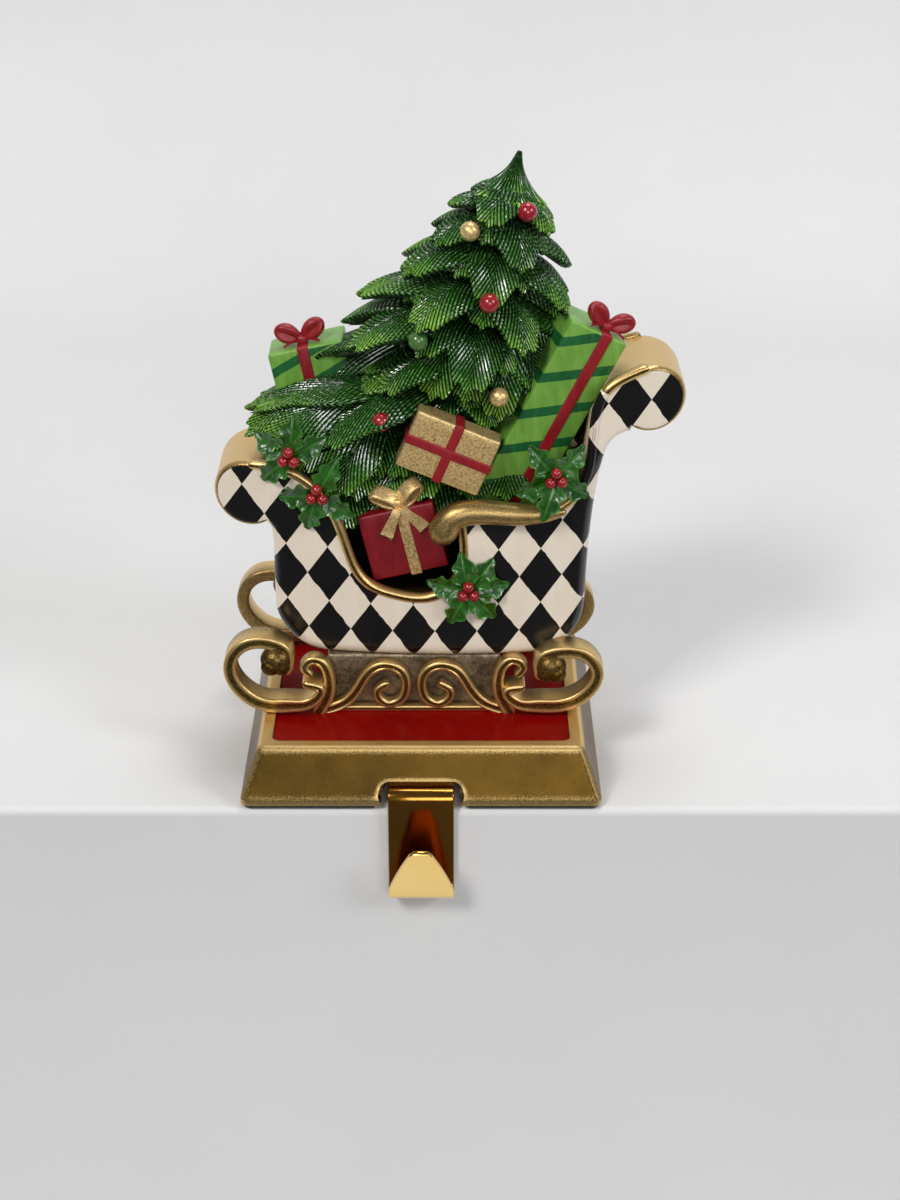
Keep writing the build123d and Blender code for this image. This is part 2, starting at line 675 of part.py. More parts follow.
with BuildPart() as gift_red:
    add(wrapped_box(red_plane, RED_GIFT, 4.0, 2.0, False))
    add(bow(red_plane, RED_GIFT, 2.0, RED_GIFT[1] / 2 - 2.0, 21.0, 4.6))
    tail_root = red_plane.from_local_coords((2.0, -RED_GIFT[1] / 2, RED_GIFT[2] / 2))
    with BuildSketch(Plane(tail_root, x_dir=red_plane.x_dir, z_dir=-red_plane.y_dir)):
        for hand in (-1, 1):
            with Locations((hand * 3.6, -3.0)):
                Rectangle(3.6, 11.0, rotation=hand * 32)
    extrude(amount=2 * RIBBON_PROUD)
gift_red.part.label = "gift_red"
export_step(gift_red.part, "parts/gift_red.step")

with BuildPart() as gift_gold:
    add(wrapped_box(gold_plane, GOLD_GIFT, 3.4, 0.0, True))
gift_gold.part.label = "gift_gold"
export_step(gift_gold.part, "parts/gift_gold.step")

# Holly sprigs on the near side: place along the sleigh, height, and the turn of each leaf
sprig_leaf = ((0.0, 0.1), (0.26, 0.5), (0.36, 0.27), (0.6, 0.46), (0.7, 0.22))
sprigs = {
    "holly_front": (19.3, 27.2, (8, 52, 100, 168, 243, 312)),
    "holly_right": (49.1, 69.1, (46, 128, 205, 326)),
    "holly_left_high": (-42.1, 75.6, (30, 84, 148, 222)),
    "holly_left_low": (-32.6, 62.5, (62, 190, 252, 325)),
}
sprig_solids = []
for name, (x, z, turns) in sprigs.items():
    step_out = x - TUB_PLAN_X
    outward = Vector(step_out, -sqrt(PLAN_RADIUS**2 - step_out**2), 0) / PLAN_RADIUS
    spot = Vector(SLEIGH_X + x, side_y(x), TUB_Z + z) + outward * (TRIM_PROUD - SPRIG_SEAT)
    face = Plane(spot, x_dir=Vector(-outward.Y, outward.X, 0), z_dir=outward)
    with BuildPart() as sprig:
        with BuildSketch(face):
            RegularPolygon(2.0 * BERRY, 6)
        extrude(amount=LEAF_THICKNESS)
        for turn in turns:
            run = Vector(cos(radians(turn)), sin(radians(turn)), 0)
            root = face.from_local_coords(run * BERRY)
            tip = face.from_local_coords(run * (LEAF_LENGTH + BERRY))
            add(ridged_leaf(root, tip, outward, LEAF_WIDTH, LEAF_THICKNESS, sprig_leaf))
        for turn in (90, 210, 330):
            out = Vector(cos(radians(turn)), sin(radians(turn)), 0) * (1.2 * BERRY)
            seat = out + Vector(0, 0, LEAF_THICKNESS + 0.6 * BERRY)
            add(bead(face.from_local_coords(seat), BERRY, 5))
        add(sleigh_tub.part, mode=Mode.SUBTRACT)
        add(gift_tall.part, mode=Mode.SUBTRACT)
    piece = largest(sprig.part)
    piece.label = name
    export_step(piece, "parts/" + name + ".step")
    sprig_solids.append(piece)

# Fir tree: tiers of drooping lobed boughs on a leaning core, which stands on the tub's floor. Each
# tier has shorter boughs above the gaps between its long ones
twig_leaf = ((0.0, 0.1), (0.5, 0.46), (0.84, 0.44), (0.78, 0.2))
inner_leaf = ((0.0, 0.1), (0.7, 0.48))
apex = Vector(SLEIGH_X + TREE_APEX_X, SLEIGH_Y, TUB_Z + TUB_FLOOR + TREE_HEIGHT)
tree_lean = radians(TREE_LEAN)


def on_tree(across, depth, down):
    """A place on the tree: across to the right, back in depth and down along the leaning trunk."""
    run = across * cos(tree_lean) - down * sin(tree_lean)
    fall = across * sin(tree_lean) + down * cos(tree_lean)
    return apex + Vector(run, depth, -fall)


def cone_of(ring, point):
    """A faceted cone from a flat ring of corners to a point."""
    faces = [Face(Wire.make_polygon([a, b, point])) for a, b in zip(ring, ring[1:] + ring[:1])]
    faces.append(Face(Wire.make_polygon(ring)))
    return Solid(Shell(faces))


def tier_size(tier):
    """How far down the trunk a tier's tips lie, how far they reach and how deep the tier is for its width."""
    down = FIRST_TIER + TIER_PITCH * tier + TIER_GROWTH * tier**2
    reach = FIRST_REACH + TREE_SPREAD * (down - FIRST_TIER)
    return down, reach, 1 - TREE_FLATTEN * tier / (TREE_TIERS - 1)


def tier_spot(tier, angle, share):
    """A place on a tier, as a share of the way out to its tips. The side by the seat back is kept short."""
    down, reach, flat = tier_size(tier)
    right = min(reach, TREE_RIGHT_REACH)
    across = share * cos(angle) * (reach if cos(angle) < 0 else right)
    return across, share * sin(angle) * reach * flat, down


trunk_up = on_tree(0, 0, 0) - on_tree(0, 0, 1)
boughs = []
for tier in range(TREE_TIERS):
    count = 5 + tier // 3
    for k in range(2 * count):
        angle = pi * (k + tier % 2) / count
        inner = k % 2
        if inner and tier < INNER_TIERS:
            continue
        share = INNER_SHARE if inner else 1
        across, depth, down = tier_spot(tier, angle, share)
        if tier >= LOW_TIERS and depth < 0 and across > -0.2 * tier_size(tier)[1]:
            continue
        down -= inner * INNER_LIFT
        radial = sqrt(across**2 + depth**2)
        rise = (1 - ROOT_SHARE) * radial * tan(radians(BOUGH_DROOP + FRONT_DROOP * abs(sin(angle))))
        tip = on_tree(across, depth, down)
        root = on_tree(ROOT_SHARE * across, ROOT_SHARE * depth, down - rise)
        thickness = BOUGH_THICKNESS * min(1, 0.3 + radial / TREE_RIGHT_REACH / 2)
        outline = inner_leaf if inner else twig_leaf
        boughs.append(ridged_leaf(root, tip, trunk_up, 8.0 + 0.4 * radial, thickness, outline))
corners = [2 * pi * (k + 0.5) / 8 for k in range(8)]
for tier in (0, TREE_TIERS // 2, TREE_TIERS - 1):
    ring = [on_tree(*tier_spot(tier, angle, CORE_SHARE)) for angle in corners]
    boughs.append(cone_of(ring, apex))
with BuildPart() as mound:
    with BuildSketch(Plane((SLEIGH_X, SLEIGH_Y, TUB_Z + TUB_FLOOR))):
        heap = Rectangle(MOUND_LENGTH, MOUND_DEPTH)
        chamfer(heap.vertices(), MOUND_DEPTH / 4)
    extrude(amount=TREE_HEIGHT - tier_size(TREE_TIERS - 1)[0])

# Low boughs that hang down over the heap on both sides, inside the tub
heap_z = TUB_Z + TUB_FLOOR + TREE_HEIGHT - tier_size(TREE_TIERS - 1)[0]
for k in range(SKIRT_BOUGHS):
    x = SLEIGH_X + MOUND_LENGTH * (k / (SKIRT_BOUGHS - 1) - 0.5)
    for hand in (-1, 1):
        root = Vector(x, SLEIGH_Y + hand * MOUND_DEPTH / 4, heap_z + BOUGH_THICKNESS / 2)
        tip = Vector(x, SLEIGH_Y + hand * (MOUND_DEPTH / 2 + SKIRT_REACH), heap_z - 2 * SKIRT_REACH)
        boughs.append(ridged_leaf(root, tip, Vector(0, 0, 1), 16.0, BOUGH_THICKNESS, twig_leaf))

# Painted balls hung among the boughs, each on its cap
baubles = (
    (38.9, -4.0, 158.8),
    (19.7, -7.0, 153.0),
    (26.1, -12.0, 128.8),
    (2.1, -14.0, 116.9),
    (29.7, -16.0, 97.5),
    (-10.7, -16.0, 88.4),
)
for x, y, z in baubles:
    centre = Vector(SLEIGH_X + x, y, TUB_Z + z)
    trunk = on_tree(0, 0, (apex - centre).dot(trunk_up))
    boughs.append(bead(centre, BAUBLE, 8))
    with BuildPart(Plane(centre, z_dir=trunk - centre)) as cap:
        reach = (trunk - centre).length
        Box(0.5 * BAUBLE, 0.5 * BAUBLE, reach, align=(Align.CENTER, Align.CENTER, Align.MIN))
    boughs.append(cap.part)

with BuildPart() as fir_tree:
    add(mound.part)
    add(boughs)
    add(sleigh_tub.part, mode=Mode.SUBTRACT)
    for gift in (gift_tall, gift_small, gift_red, gift_gold):
        add(gift.part, mode=Mode.SUBTRACT)
    add(sprig_solids, mode=Mode.SUBTRACT)
tree_body = largest(fir_tree.part)
tree_body.label = "fir_tree"
export_step(tree_body, "parts/fir_tree.step")
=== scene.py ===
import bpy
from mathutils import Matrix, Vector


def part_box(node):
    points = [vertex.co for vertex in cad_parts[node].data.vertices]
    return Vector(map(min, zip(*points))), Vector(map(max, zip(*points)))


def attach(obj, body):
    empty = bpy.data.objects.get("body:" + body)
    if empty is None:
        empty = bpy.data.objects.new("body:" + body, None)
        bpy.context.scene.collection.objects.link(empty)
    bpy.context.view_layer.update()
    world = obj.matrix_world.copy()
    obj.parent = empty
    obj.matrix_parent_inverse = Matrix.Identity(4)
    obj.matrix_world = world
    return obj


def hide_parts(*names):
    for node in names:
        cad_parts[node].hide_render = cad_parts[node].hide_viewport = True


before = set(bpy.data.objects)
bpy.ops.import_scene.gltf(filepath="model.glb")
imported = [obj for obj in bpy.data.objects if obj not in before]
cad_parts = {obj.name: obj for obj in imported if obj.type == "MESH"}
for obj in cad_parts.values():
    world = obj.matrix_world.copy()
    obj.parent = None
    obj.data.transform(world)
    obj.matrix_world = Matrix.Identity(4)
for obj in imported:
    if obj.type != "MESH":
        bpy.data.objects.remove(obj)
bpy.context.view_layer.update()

from functools import partial
from math import asin, cos, pi, radians, sin, sqrt, tan

import bmesh
import bpy
import numpy as np
from bpy.props import FloatProperty, FloatVectorProperty, IntProperty, PointerProperty
from mathutils import Vector, geometry

bl_info = {
    "name": "Mantel Stocking Holder",
    "version": (1, 0, 0),
    "blender": (4, 5, 0),
    "location": "View3D > Sidebar > Holder",
    "description": "Builds the visible pieces of a sleigh-topped mantel stocking holder",
    "category": "Object",
}

# Sizes in millimetres, the same as the solids have
MM = 0.001
SLEIGH_X = -2.8
SLEIGH_Y = 8.0
BASE_HALF_WIDTH = 63.5
BASE_HALF_DEPTH = 57.0
BASE_BEVEL = 6.5
BASE_TOP = 21.6
FIELD_Z = 20.0
CHANNEL_CEILING = 8.0
HOOK_WIDTH = 23.2
HOOK_THICKNESS = 1.5
HOOK_STANDOFF = 0.5
HOOK_BEND = 3.0
HOOK_CUP = 2.8
HOOK_DROP = 32.5
TANG_LENGTH = 34.0
TONGUE_LENGTH = 24.0
TONGUE_LEAN = radians(22.0)
TONGUE_TAPER = 20.0
TONGUE_TIP = 7.0
TONGUE_BULGE = 2.4
PEDESTAL = (62.0, 50.0, 21.2)
PEDESTAL_FRONT = -17.0
TUB_Z = 41.2
TUB_WALL = 3.4
TUB_FLOOR = 21.0
TUB_HALF_DEPTH = 28.0
TUB_END_HALF_DEPTH = 13.0
TUB_PLAN_X = 12.0
TUB_PLAN_HALF_LENGTH = 87.0
PLAN_SAG = TUB_HALF_DEPTH - TUB_END_HALF_DEPTH
PLAN_RADIUS = (TUB_PLAN_HALF_LENGTH**2 + PLAN_SAG**2) / (2 * PLAN_SAG)
TUB_FRONT = 49.5
TUB_BACK = 61.0
TUB_CORNER = 18.5
WALL_ROWS = 15
TREE_HEIGHT = 155.5
TREE_LEAN = radians(13.0)
TREE_RIGHT_REACH = 32.0
TIERS = 8
APEX = np.array([SLEIGH_X + 36.5, SLEIGH_Y, TUB_Z + TUB_FLOOR + TREE_HEIGHT])
TRUNK_UP = np.array([sin(TREE_LEAN), 0.0, cos(TREE_LEAN)])

# Lines on the side of the tub, along the sleigh and up from its foot. Rolls have a middle and a radius
FRONT_ROLL = (-58.2, 59.3, 12.0)
BACK_ROLL = (83.0, 94.3, 11.8)
BACK_WALL = ((61.0, 18.5), (61.9, 40.0), (63.6, 58.0), (66.2, 73.5))
BACK_NECK = ((66.2, 73.5), (67.8, 78.6), (71.0, 82.0), (75.4, 83.4))
FRONT_NECK = ((-51.6, 49.3), (-50.3, 47.6), (-49.7, 44.6), (-49.5, 41.0))
FRONT_RIM = (
    (-55.8, 70.5), (-40.0, 67.5), (-31.0, 59.5), (-24.6, 45.5), (-16.6, 28.6),
    (-6.0, 24.2), (8.0, 24.2), (15.6, 31.2), (17.0, 51.8),
)
BACK_RIM = (
    (17.0, 56.0), (32.0, 55.0), (46.0, 54.6), (56.0, 60.0), (62.0, 76.0), (67.0, 99.0), (79.5, 105.3),
)
FRONT_LINING = ((-55.7, 71.0), (-50.2, 68.4), (-46.8, 62.0), (TUB_WALL - TUB_FRONT, 52.0))
BACK_LINING = ((60.6, 60.0), (64.0, 82.0), (66.8, 96.0), (71.8, 103.0), (79.95, 105.7))
ARM = ((52.0, 56.4), (40.0, 55.6), (30.0, 56.2), (20.0, 56.4), (13.6, 54.2), (10.6, 49.4))
RIM_WIDTH = 3.4
# The back rim is gold up to here and where it meets the roll, and painted like the sides between
GOLD_RIM_TOP = 62.0

# Scrolls of a runner, from the middle outwards and up, with the widths of their strips
RING = (
    (38.6, 8.6), (33.4, 6.2), (36.6, 1.6), (44.0, 0.2), (52.6, 0.4), (62.2, 6.4),
    (65.6, 16.0), (61.6, 23.2), (53.4, 25.3), (45.4, 20.9), (45.6, 14.9),
)
CURL = ((34.2, 1.2), (31.0, 7.5), (30.4, 14.0), (32.4, 19.4), (36.2, 21.2), (39.2, 18.4), (37.4, 15.6))
VOLUTE = (
    (31.0, 1.2), (25.0, 3.8), (19.8, 10.0), (15.8, 16.2), (10.0, 18.7), (4.0, 15.6),
    (2.8, 10.0), (5.2, 4.6), (10.4, 3.6), (13.2, 8.2), (10.0, 11.0),
)
SCROLL_STRIP = 5.0
SCROLL_EYE = 2.8
RING_FOOT = 5.6
RING_SIDE = 4.4
VOLUTE_STRIP = 4.2
BAR_HALF_LENGTH = 34.0
BAR_HEIGHT = 2.2
# Balls that make up the knob in a ring: outwards, back, up, radius
KNOB = ((0.6, 0.4, 1.2, 5.4), (2.4, -1.6, -0.8, 3.4), (-1.2, -1.2, -1.2, 3.1))

# Gifts: place along the sleigh, height, depth of the front, depth, lean and turn, then the size of the box
GIFTS = {
    "gift_tall": ((43.6, 81.0, -8.0, 19.0, 27.0, 10.0), (22.0, 19.0, 84.0)),
    "gift_small": ((-35.8, 95.7, 11.0, 18.0, -12.0, 0.0), (27.0, 18.0, 21.0)),
    "gift_red": ((-3.6, 42.4, -13.6, 15.0, -13.3, 0.0), (27.2, 15.0, 25.0)),
    "gift_gold": ((12.3, 77.8, -19.0, 10.0, 23.0, 0.0), (30.6, 10.0, 21.5)),
}

# Holly: place along the sleigh, height, and the directions of the leaves
SPRIGS = {
    "holly_front": (19.3, 27.2, (8, 52, 100, 168, 243, 312)),
    "holly_right": (49.1, 69.1, (46, 128, 205, 326)),
    "holly_left_high": (-42.1, 75.6, (30, 84, 148, 222)),
    "holly_left_low": (-32.6, 62.5, (62, 190, 252, 325)),
}

# Rows of sprays in the heart of the tree: height, left end, right end and how many
HEART_ROWS = ((14.0, -46.0, -6.0, 4), (6.0, -44.0, 26.0, 7), (-6.0, -38.0, 26.0, 6))
# Root and tip of the boughs that fill the tree in behind the gold gift and over the front roll
FILL_BOUGHS = (
    ((14.0, 2.0, 160.0), (4.0, -8.0, 134.0)),
    ((22.0, 2.0, 160.0), (16.0, -8.5, 133.0)),
    ((28.0, 2.0, 156.0), (27.0, -8.5, 127.0)),
    ((-20.0, 2.0, 128.0), (-50.0, -4.0, 113.0)),
    ((-18.0, 0.0, 126.0), (-42.0, -11.0, 109.0)),
    ((-14.0, -2.0, 124.0), (-29.0, -14.0, 101.0)),
    ((-22.0, 6.0, 128.0), (-54.0, 8.0, 114.0)),
    ((-22.0, 4.0, 136.0), (-62.0, 0.0, 117.5)),
    ((-20.0, 0.0, 132.0), (-55.0, -12.0, 117.5)),
    ((-8.0, 12.0, 148.0), (-43.0, 24.0, 126.0)),
    ((-8.0, 14.0, 144.0), (-39.0, 31.0, 122.0)),
    ((25.0, 8.0, 184.0), (50.0, 10.0, 158.0)),
    ((27.0, 8.0, 170.0), (49.0, 9.0, 145.0)),
    ((29.0, 6.0, 158.0), (42.0, 0.0, 132.0)),
)
# Balls on the tree: place along the sleigh, depth, height and finish
BALL_RADIUS = 3.4
BALLS = (
    (38.9, -4.0, 158.8, 0),
    (19.7, -7.0, 153.0, 2),
    (26.1, -18.0, 131.4, 0),
    (2.1, -14.0, 116.9, 1),
    (29.7, -16.0, 97.5, 2),
    (-10.7, -16.0, 88.4, 0),
)

# Lamps in metres and watts: name, place, size, power and tint
LAMPS = (
    ("key", (-1.6, -2.2, 2.6), 0.9, 60.0, (1.0, 0.98, 0.95)),
    ("fill", (2.2, -1.4, 1.6), 0.9, 25.0, (0.97, 0.98, 1.0)),
    ("top", (0.3, 0.6, 2.6), 1.0, 22.0, (1.0, 1.0, 1.0)),
    ("front", (0.4, -3.0, 1.0), 1.2, 21.0, (1.0, 1.0, 1.0)),
)


# Shapes


def smooth_line(points, count):
    """Points along a natural cubic line through the given ones."""
    p = np.array(points, float)
    t = np.concatenate([[0], np.cumsum(np.linalg.norm(np.diff(p, axis=0), axis=1))])
    n = len(p)
    h = np.diff(t)
    a = np.eye(n)
    b = np.zeros_like(p)
    for i in range(1, n - 1):
        a[i, i - 1 : i + 2] = h[i - 1], 2 * (h[i - 1] + h[i]), h[i]
        b[i] = 6 * ((p[i + 1] - p[i]) / h[i] - (p[i] - p[i - 1]) / h[i - 1])
    m = np.linalg.solve(a, b)
    s = np.linspace(0, t[-1], count)
    k = np.clip(np.searchsorted(t, s, side="right") - 1, 0, n - 2)
    u = (s - t[k])[:, None]
    v = (t[k + 1] - s)[:, None]
    g = h[k][:, None]
    bend = m[k] * v**3 / (6 * g) + m[k + 1] * u**3 / (6 * g)
    return bend + (p[k] / g - m[k] * g / 6) * v + (p[k + 1] / g - m[k + 1] * g / 6) * u


def unit(v):
    """The same direction with length one."""
    v = np.asarray(v, float)
    return v / np.linalg.norm(v, axis=-1, keepdims=True)


def arc(x, z, radius, start, stop, count):
    """Points on a circle's arc, angles in degrees from +X towards +Z."""
    turns = np.radians(np.linspace(start, stop, count))
    return [(x + radius * cos(t), z + radius * sin(t)) for t in turns]


def grid_faces(rows, columns, closed=False):
    """Quads between the rows of a grid. A closed grid joins its last column to its first."""
    faces = []
    for r in range(rows - 1):
        for c in range(columns if closed else columns - 1):
            d = (c + 1) % columns
            faces.append([r * columns + c, r * columns + d, (r + 1) * columns + d, (r + 1) * columns + c])
    return faces


def rod_faces(rows, columns):
    """Quads round a rod, and a face at each of its ends."""
    faces = grid_faces(rows, columns, closed=True)
    faces.append(list(range(columns))[::-1])
    faces.append([(rows - 1) * columns + k for k in range(columns)])
    return faces


def sheet_faces(rows, columns):
    """Faces of a thin sheet: a grid, the same grid under it and the edge between them."""
    count = rows * columns
    faces = grid_faces(rows, columns)
    faces += [[i + count for i in face][::-1] for face in faces]
    ring = list(range(columns)) + [r * columns + columns - 1 for r in range(1, rows)]
    ring += [(rows - 1) * columns + c for c in range(columns - 2, -1, -1)]
    ring += [r * columns for r in range(rows - 2, 0, -1)]
    for a, b in zip(ring, ring[1:] + ring[:1]):
        faces.append([a, b, b + count, a + count])
    return faces


class Heap:
    """The vertices, faces and paint masks of one piece while it is put together."""

    def __init__(self):
        self.verts = []
        self.faces = []
        self.picks = []
        self.layers = {}
        self.uvs = []

    def add(self, verts, faces, pick=0, uv=None, **layers):
        """Puts in one more shape. pick is its finish, or a list with one for each face."""
        start = len(self.verts)
        count = len(verts)
        self.verts.extend(np.asarray(verts, float).tolist())
        self.faces.extend([[i + start for i in face] for face in faces])
        self.picks.extend([pick] * len(faces) if isinstance(pick, int) else pick)
        self.uvs.extend(np.zeros((count, 2)).tolist() if uv is None else np.asarray(uv, float).tolist())
        for key in set(layers) | set(self.layers):
            values = np.broadcast_to(np.asarray(layers.get(key, 0.0), float), (count,))
            self.layers.setdefault(key, [0.0] * start).extend(values.tolist())

    def piece(self, name, finishes, nodes=(), crease=40.0):
        """Makes the object, which rides on the part and stands for the solids that it names."""
        mesh = bpy.data.meshes.new(name)
        mesh.from_pydata((np.array(self.verts) * MM).tolist(), [], self.faces)
        form = bmesh.new()
        form.from_mesh(mesh)
        bmesh.ops.recalc_face_normals(form, faces=form.faces)
        form.to_mesh(mesh)
        form.free()
        for key in finishes:
            mesh.materials.append(finish(key))
        mesh.polygons.foreach_set("material_index", np.array(self.picks, np.int32))
        for key, values in self.layers.items():
            layer = mesh.attributes.new(key, "FLOAT", "POINT")
            layer.data.foreach_set("value", np.array(values, np.float32))
        loops = np.zeros(len(mesh.loops), np.int32)
        mesh.loops.foreach_get("vertex_index", loops)
        wrap = mesh.uv_layers.new(name="wrap")
        wrap.data.foreach_set("uv", np.array(self.uvs, np.float32)[loops].ravel())
        mesh.polygons.foreach_set("use_smooth", np.ones(len(mesh.polygons), bool))
        mesh.set_sharp_from_angle(angle=radians(crease))
        mesh.update()
        obj = bpy.data.objects.new(name, mesh)
        bpy.context.scene.collection.objects.link(obj)
        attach(obj, "root")
        if nodes:
            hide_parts(*nodes)


def section(width, depth, corner, dish):
    """Corners of a strip's rounded cross-section: across, in depth, and how rubbed the place is."""
    corner = min(corner, 0.48 * width, 0.48 * depth)
    rows = []
    half = width / 2
    for across, deep, start in ((1, 0, -90), (1, 1, 0), (-1, 1, 90), (-1, 0, 180)):
        for k in range(5):
            t = radians(start + 22.5 * k)
            a = across * (half - corner) + corner * cos(t)
            b = (corner if deep == 0 else depth - corner) + corner * sin(t)
            rows.append((a, b, 1.0 if deep == 0 else 0.5))
    rows.append((-0.3 * half, dish, 0.3))
    rows.append((0.3 * half, dish, 0.3))
    return np.array(rows)


def domed_rows(count, last):
    """Rows of a rod with domed ends: place on its line, how far beyond it, and share of its size."""
    dome = [(sin(radians(t)), cos(radians(t))) for t in (last, 60, 30)]
    rows = [(0, -push, size) for push, size in dome]
    rows += [(i, 0.0, 1.0) for i in range(count)]
    return rows + [(count - 1, push, size) for push, size in dome[::-1]]


def strip(heap, line, widths, front, depth, corner, dish=0.0, mirror=None, pick=0, lift=0.0):
    """A strip on edge along a line in the upright plane, rounded at its corners and its ends."""
    line = np.array(line, float)
    count = len(line)
    run = unit(np.gradient(line, axis=0))
    across = np.stack([-run[:, 1], run[:, 0]], 1)
    widths = np.broadcast_to(widths, (count,))
    front = np.broadcast_to(front, (count,))
    rows = []
    wrap = []
    masks = []
    for i, push, size in domed_rows(count, 88):
        part = section(widths[i], depth, corner, dish)
        centre = line[i] + run[i] * push * widths[i] / 2
        y = front[i] + depth / 2 + (part[:, 1] - depth / 2) * (0.6 + 0.4 * size)
        if mirror is not None:
            y = 2 * mirror - y
        places = centre[None] + across[i][None] * (part[:, :1] * size)
        wrap.append(places)
        rows.append(np.stack([SLEIGH_X + places[:, 0], y, lift + places[:, 1]], 1))
        masks.append(part[:, 2])
    faces = rod_faces(len(rows), len(part))
    heap.add(np.concatenate(rows), faces, pick, uv=np.concatenate(wrap), wear=np.concatenate(masks))


def tube(heap, line, radii, sides, pick, wear=0.4):
    """A round rod along a line in space, with domed ends."""
    line = np.array(line, float)
    run = unit(np.gradient(line, axis=0))
    radii = np.broadcast_to(radii, (len(line),))
    side = unit(np.cross(run[0], (0.0, 0.0, 1.0) if abs(run[0][2]) < 0.9 else (1.0, 0.0, 0.0)))
    turns = (np.arange(sides) * 2 * pi / sides)[:, None]
    rows = []
    for i, push, size in domed_rows(len(line), 86):
        side = unit(side - run[i] * (side @ run[i]))
        lift = np.cross(run[i], side)
        centre = line[i] + run[i] * push * radii[i]
        rows.append(centre + radii[i] * size * (np.cos(turns) * side + np.sin(turns) * lift))
    heap.add(np.concatenate(rows), rod_faces(len(rows), sides), pick, wear=wear)


def ball(heap, centre, radius, pick=0, stretch=(1, 1, 1), rows=14, columns=20, **layers):
    """A smooth ball."""
    verts = []
    for r in range(rows + 1):
        a = pi * (0.02 + 0.96 * r / rows)
        for c in range(columns):
            b = 2 * pi * c / columns
            verts.append((sin(a) * cos(b), sin(a) * sin(b), cos(a)))
    places = np.array(centre) + radius * np.array(verts) * np.array(stretch)
    heap.add(places, rod_faces(rows + 1, columns), pick, **layers)


def soft_box(heap, axes, centre, size, edge, pick=0, steps=8, wear_rim=0.0):
    """A box with rounded edges. axes are its three directions. The rim mask runs along its edges."""
    half = np.array(size, float) / 2
    lines = []
    for h in half:
        inner = np.linspace(-(h - edge), h - edge, steps)
        near = [-h, -h + 0.12 * edge, -h + 0.45 * edge]
        lines.append(np.concatenate([near, inner, [-v for v in near[::-1]]]))
    axes = np.array(axes, float)
    for axis in range(3):
        first, second = (k for k in range(3) if k != axis)
        for hand in (-1, 1):
            grid = np.zeros((len(lines[first]), len(lines[second]), 3))
            grid[..., first] = lines[first][:, None]
            grid[..., second] = lines[second][None, :]
            grid[..., axis] = hand * half[axis]
            core = np.clip(grid, -(half - edge), half - edge)
            flat = (core + edge * unit(grid - core)).reshape(-1, 3)
            inset = np.sort(half - np.abs(flat), axis=1)[:, 1]
            rim = np.clip(1 - inset / (2.5 * edge), 0, 1) * wear_rim
            faces = grid_faces(*grid.shape[:2])
            heap.add(np.array(centre) + flat @ axes, faces, pick, uv=flat[:, (first, second)], wear=rim)


# Finishes


class Wire:
    """A value in a shader tree. Sums with it add nodes to the tree."""

    def __init__(self, net, socket):
        self.net = net
        self.socket = socket

    def to(self, operation, *others):
        """The result of one operation on this value and others."""
        return self.net.value("Math", 0, dict(enumerate((self, *others))), operation=operation)

    def __add__(self, other):
        return self.to("ADD", other)

    def __sub__(self, other):
        return self.to("SUBTRACT", other)

    def __mul__(self, other):
        return self.to("MULTIPLY", other)

    def __truediv__(self, other):
        return self.to("DIVIDE", other)

    def inside(self):
        """The value kept from nought to one."""
        return self.to("MAXIMUM", 0.0).to("MINIMUM", 1.0)

    def spread(self, low, high, out_low=0.0, out_high=1.0):
        """The value stretched from one range to another and kept inside it."""
        ends = {"From Min": low, "From Max": high, "To Min": out_low, "To Max": out_high}
        return self.net.value("MapRange", 0, {"Value": self, **ends})

    def between(self, low, high):
        """A value from nought to one, stretched to a range."""
        return self.spread(0.0, 1.0, low, high)


class Net:
    """A shader tree, with short calls that add nodes and give their values."""

    def __init__(self, tree):
        self.tree = tree

    def feed(self, socket, value):
        """Joins a value to an input, or sets the input to a number or a colour."""
        if isinstance(value, Wire):
            self.tree.links.new(value.socket, socket)
        elif socket.type == "RGBA":
            socket.default_value = (*value, 1.0)
        else:
            socket.default_value = value

    def node(self, kind, inputs=None, **settings):
        """A new node with its settings and inputs."""
        made = self.tree.nodes.new("ShaderNode" + kind)
        for key, value in settings.items():
            setattr(made, key, value)
        for key, value in (inputs or {}).items():
            self.feed(made.inputs[key], value)
        return made

    def value(self, kind, output, inputs=None, **settings):
        """One output of a new node."""
        return Wire(self, self.node(kind, inputs, **settings).outputs[output])

    def attribute(self, name):
        """One of the masks that a piece carries."""
        return self.value("Attribute", "Fac", attribute_name=name)

    def place(self):
        """Where a point lies in the object."""
        return self.value("TexCoord", "Object")

    def split(self, vector):
        """The three parts of a place."""
        return [Wire(self, socket) for socket in self.node("SeparateXYZ", {"Vector": vector}).outputs]

    def noise(self, scale, detail=2.0, roughness=0.5, vector=None):
        """Cloudy noise over the object."""
        inputs = {"Vector": vector or self.place(), "Scale": scale, "Detail": detail, "Roughness": roughness}
        return self.value("TexNoise", 0, inputs)

    def blend(self, mask, first, second):
        """A colour between two by a mask."""
        return self.value("Mix", 2, {0: mask, 6: first, 7: second}, data_type="RGBA")


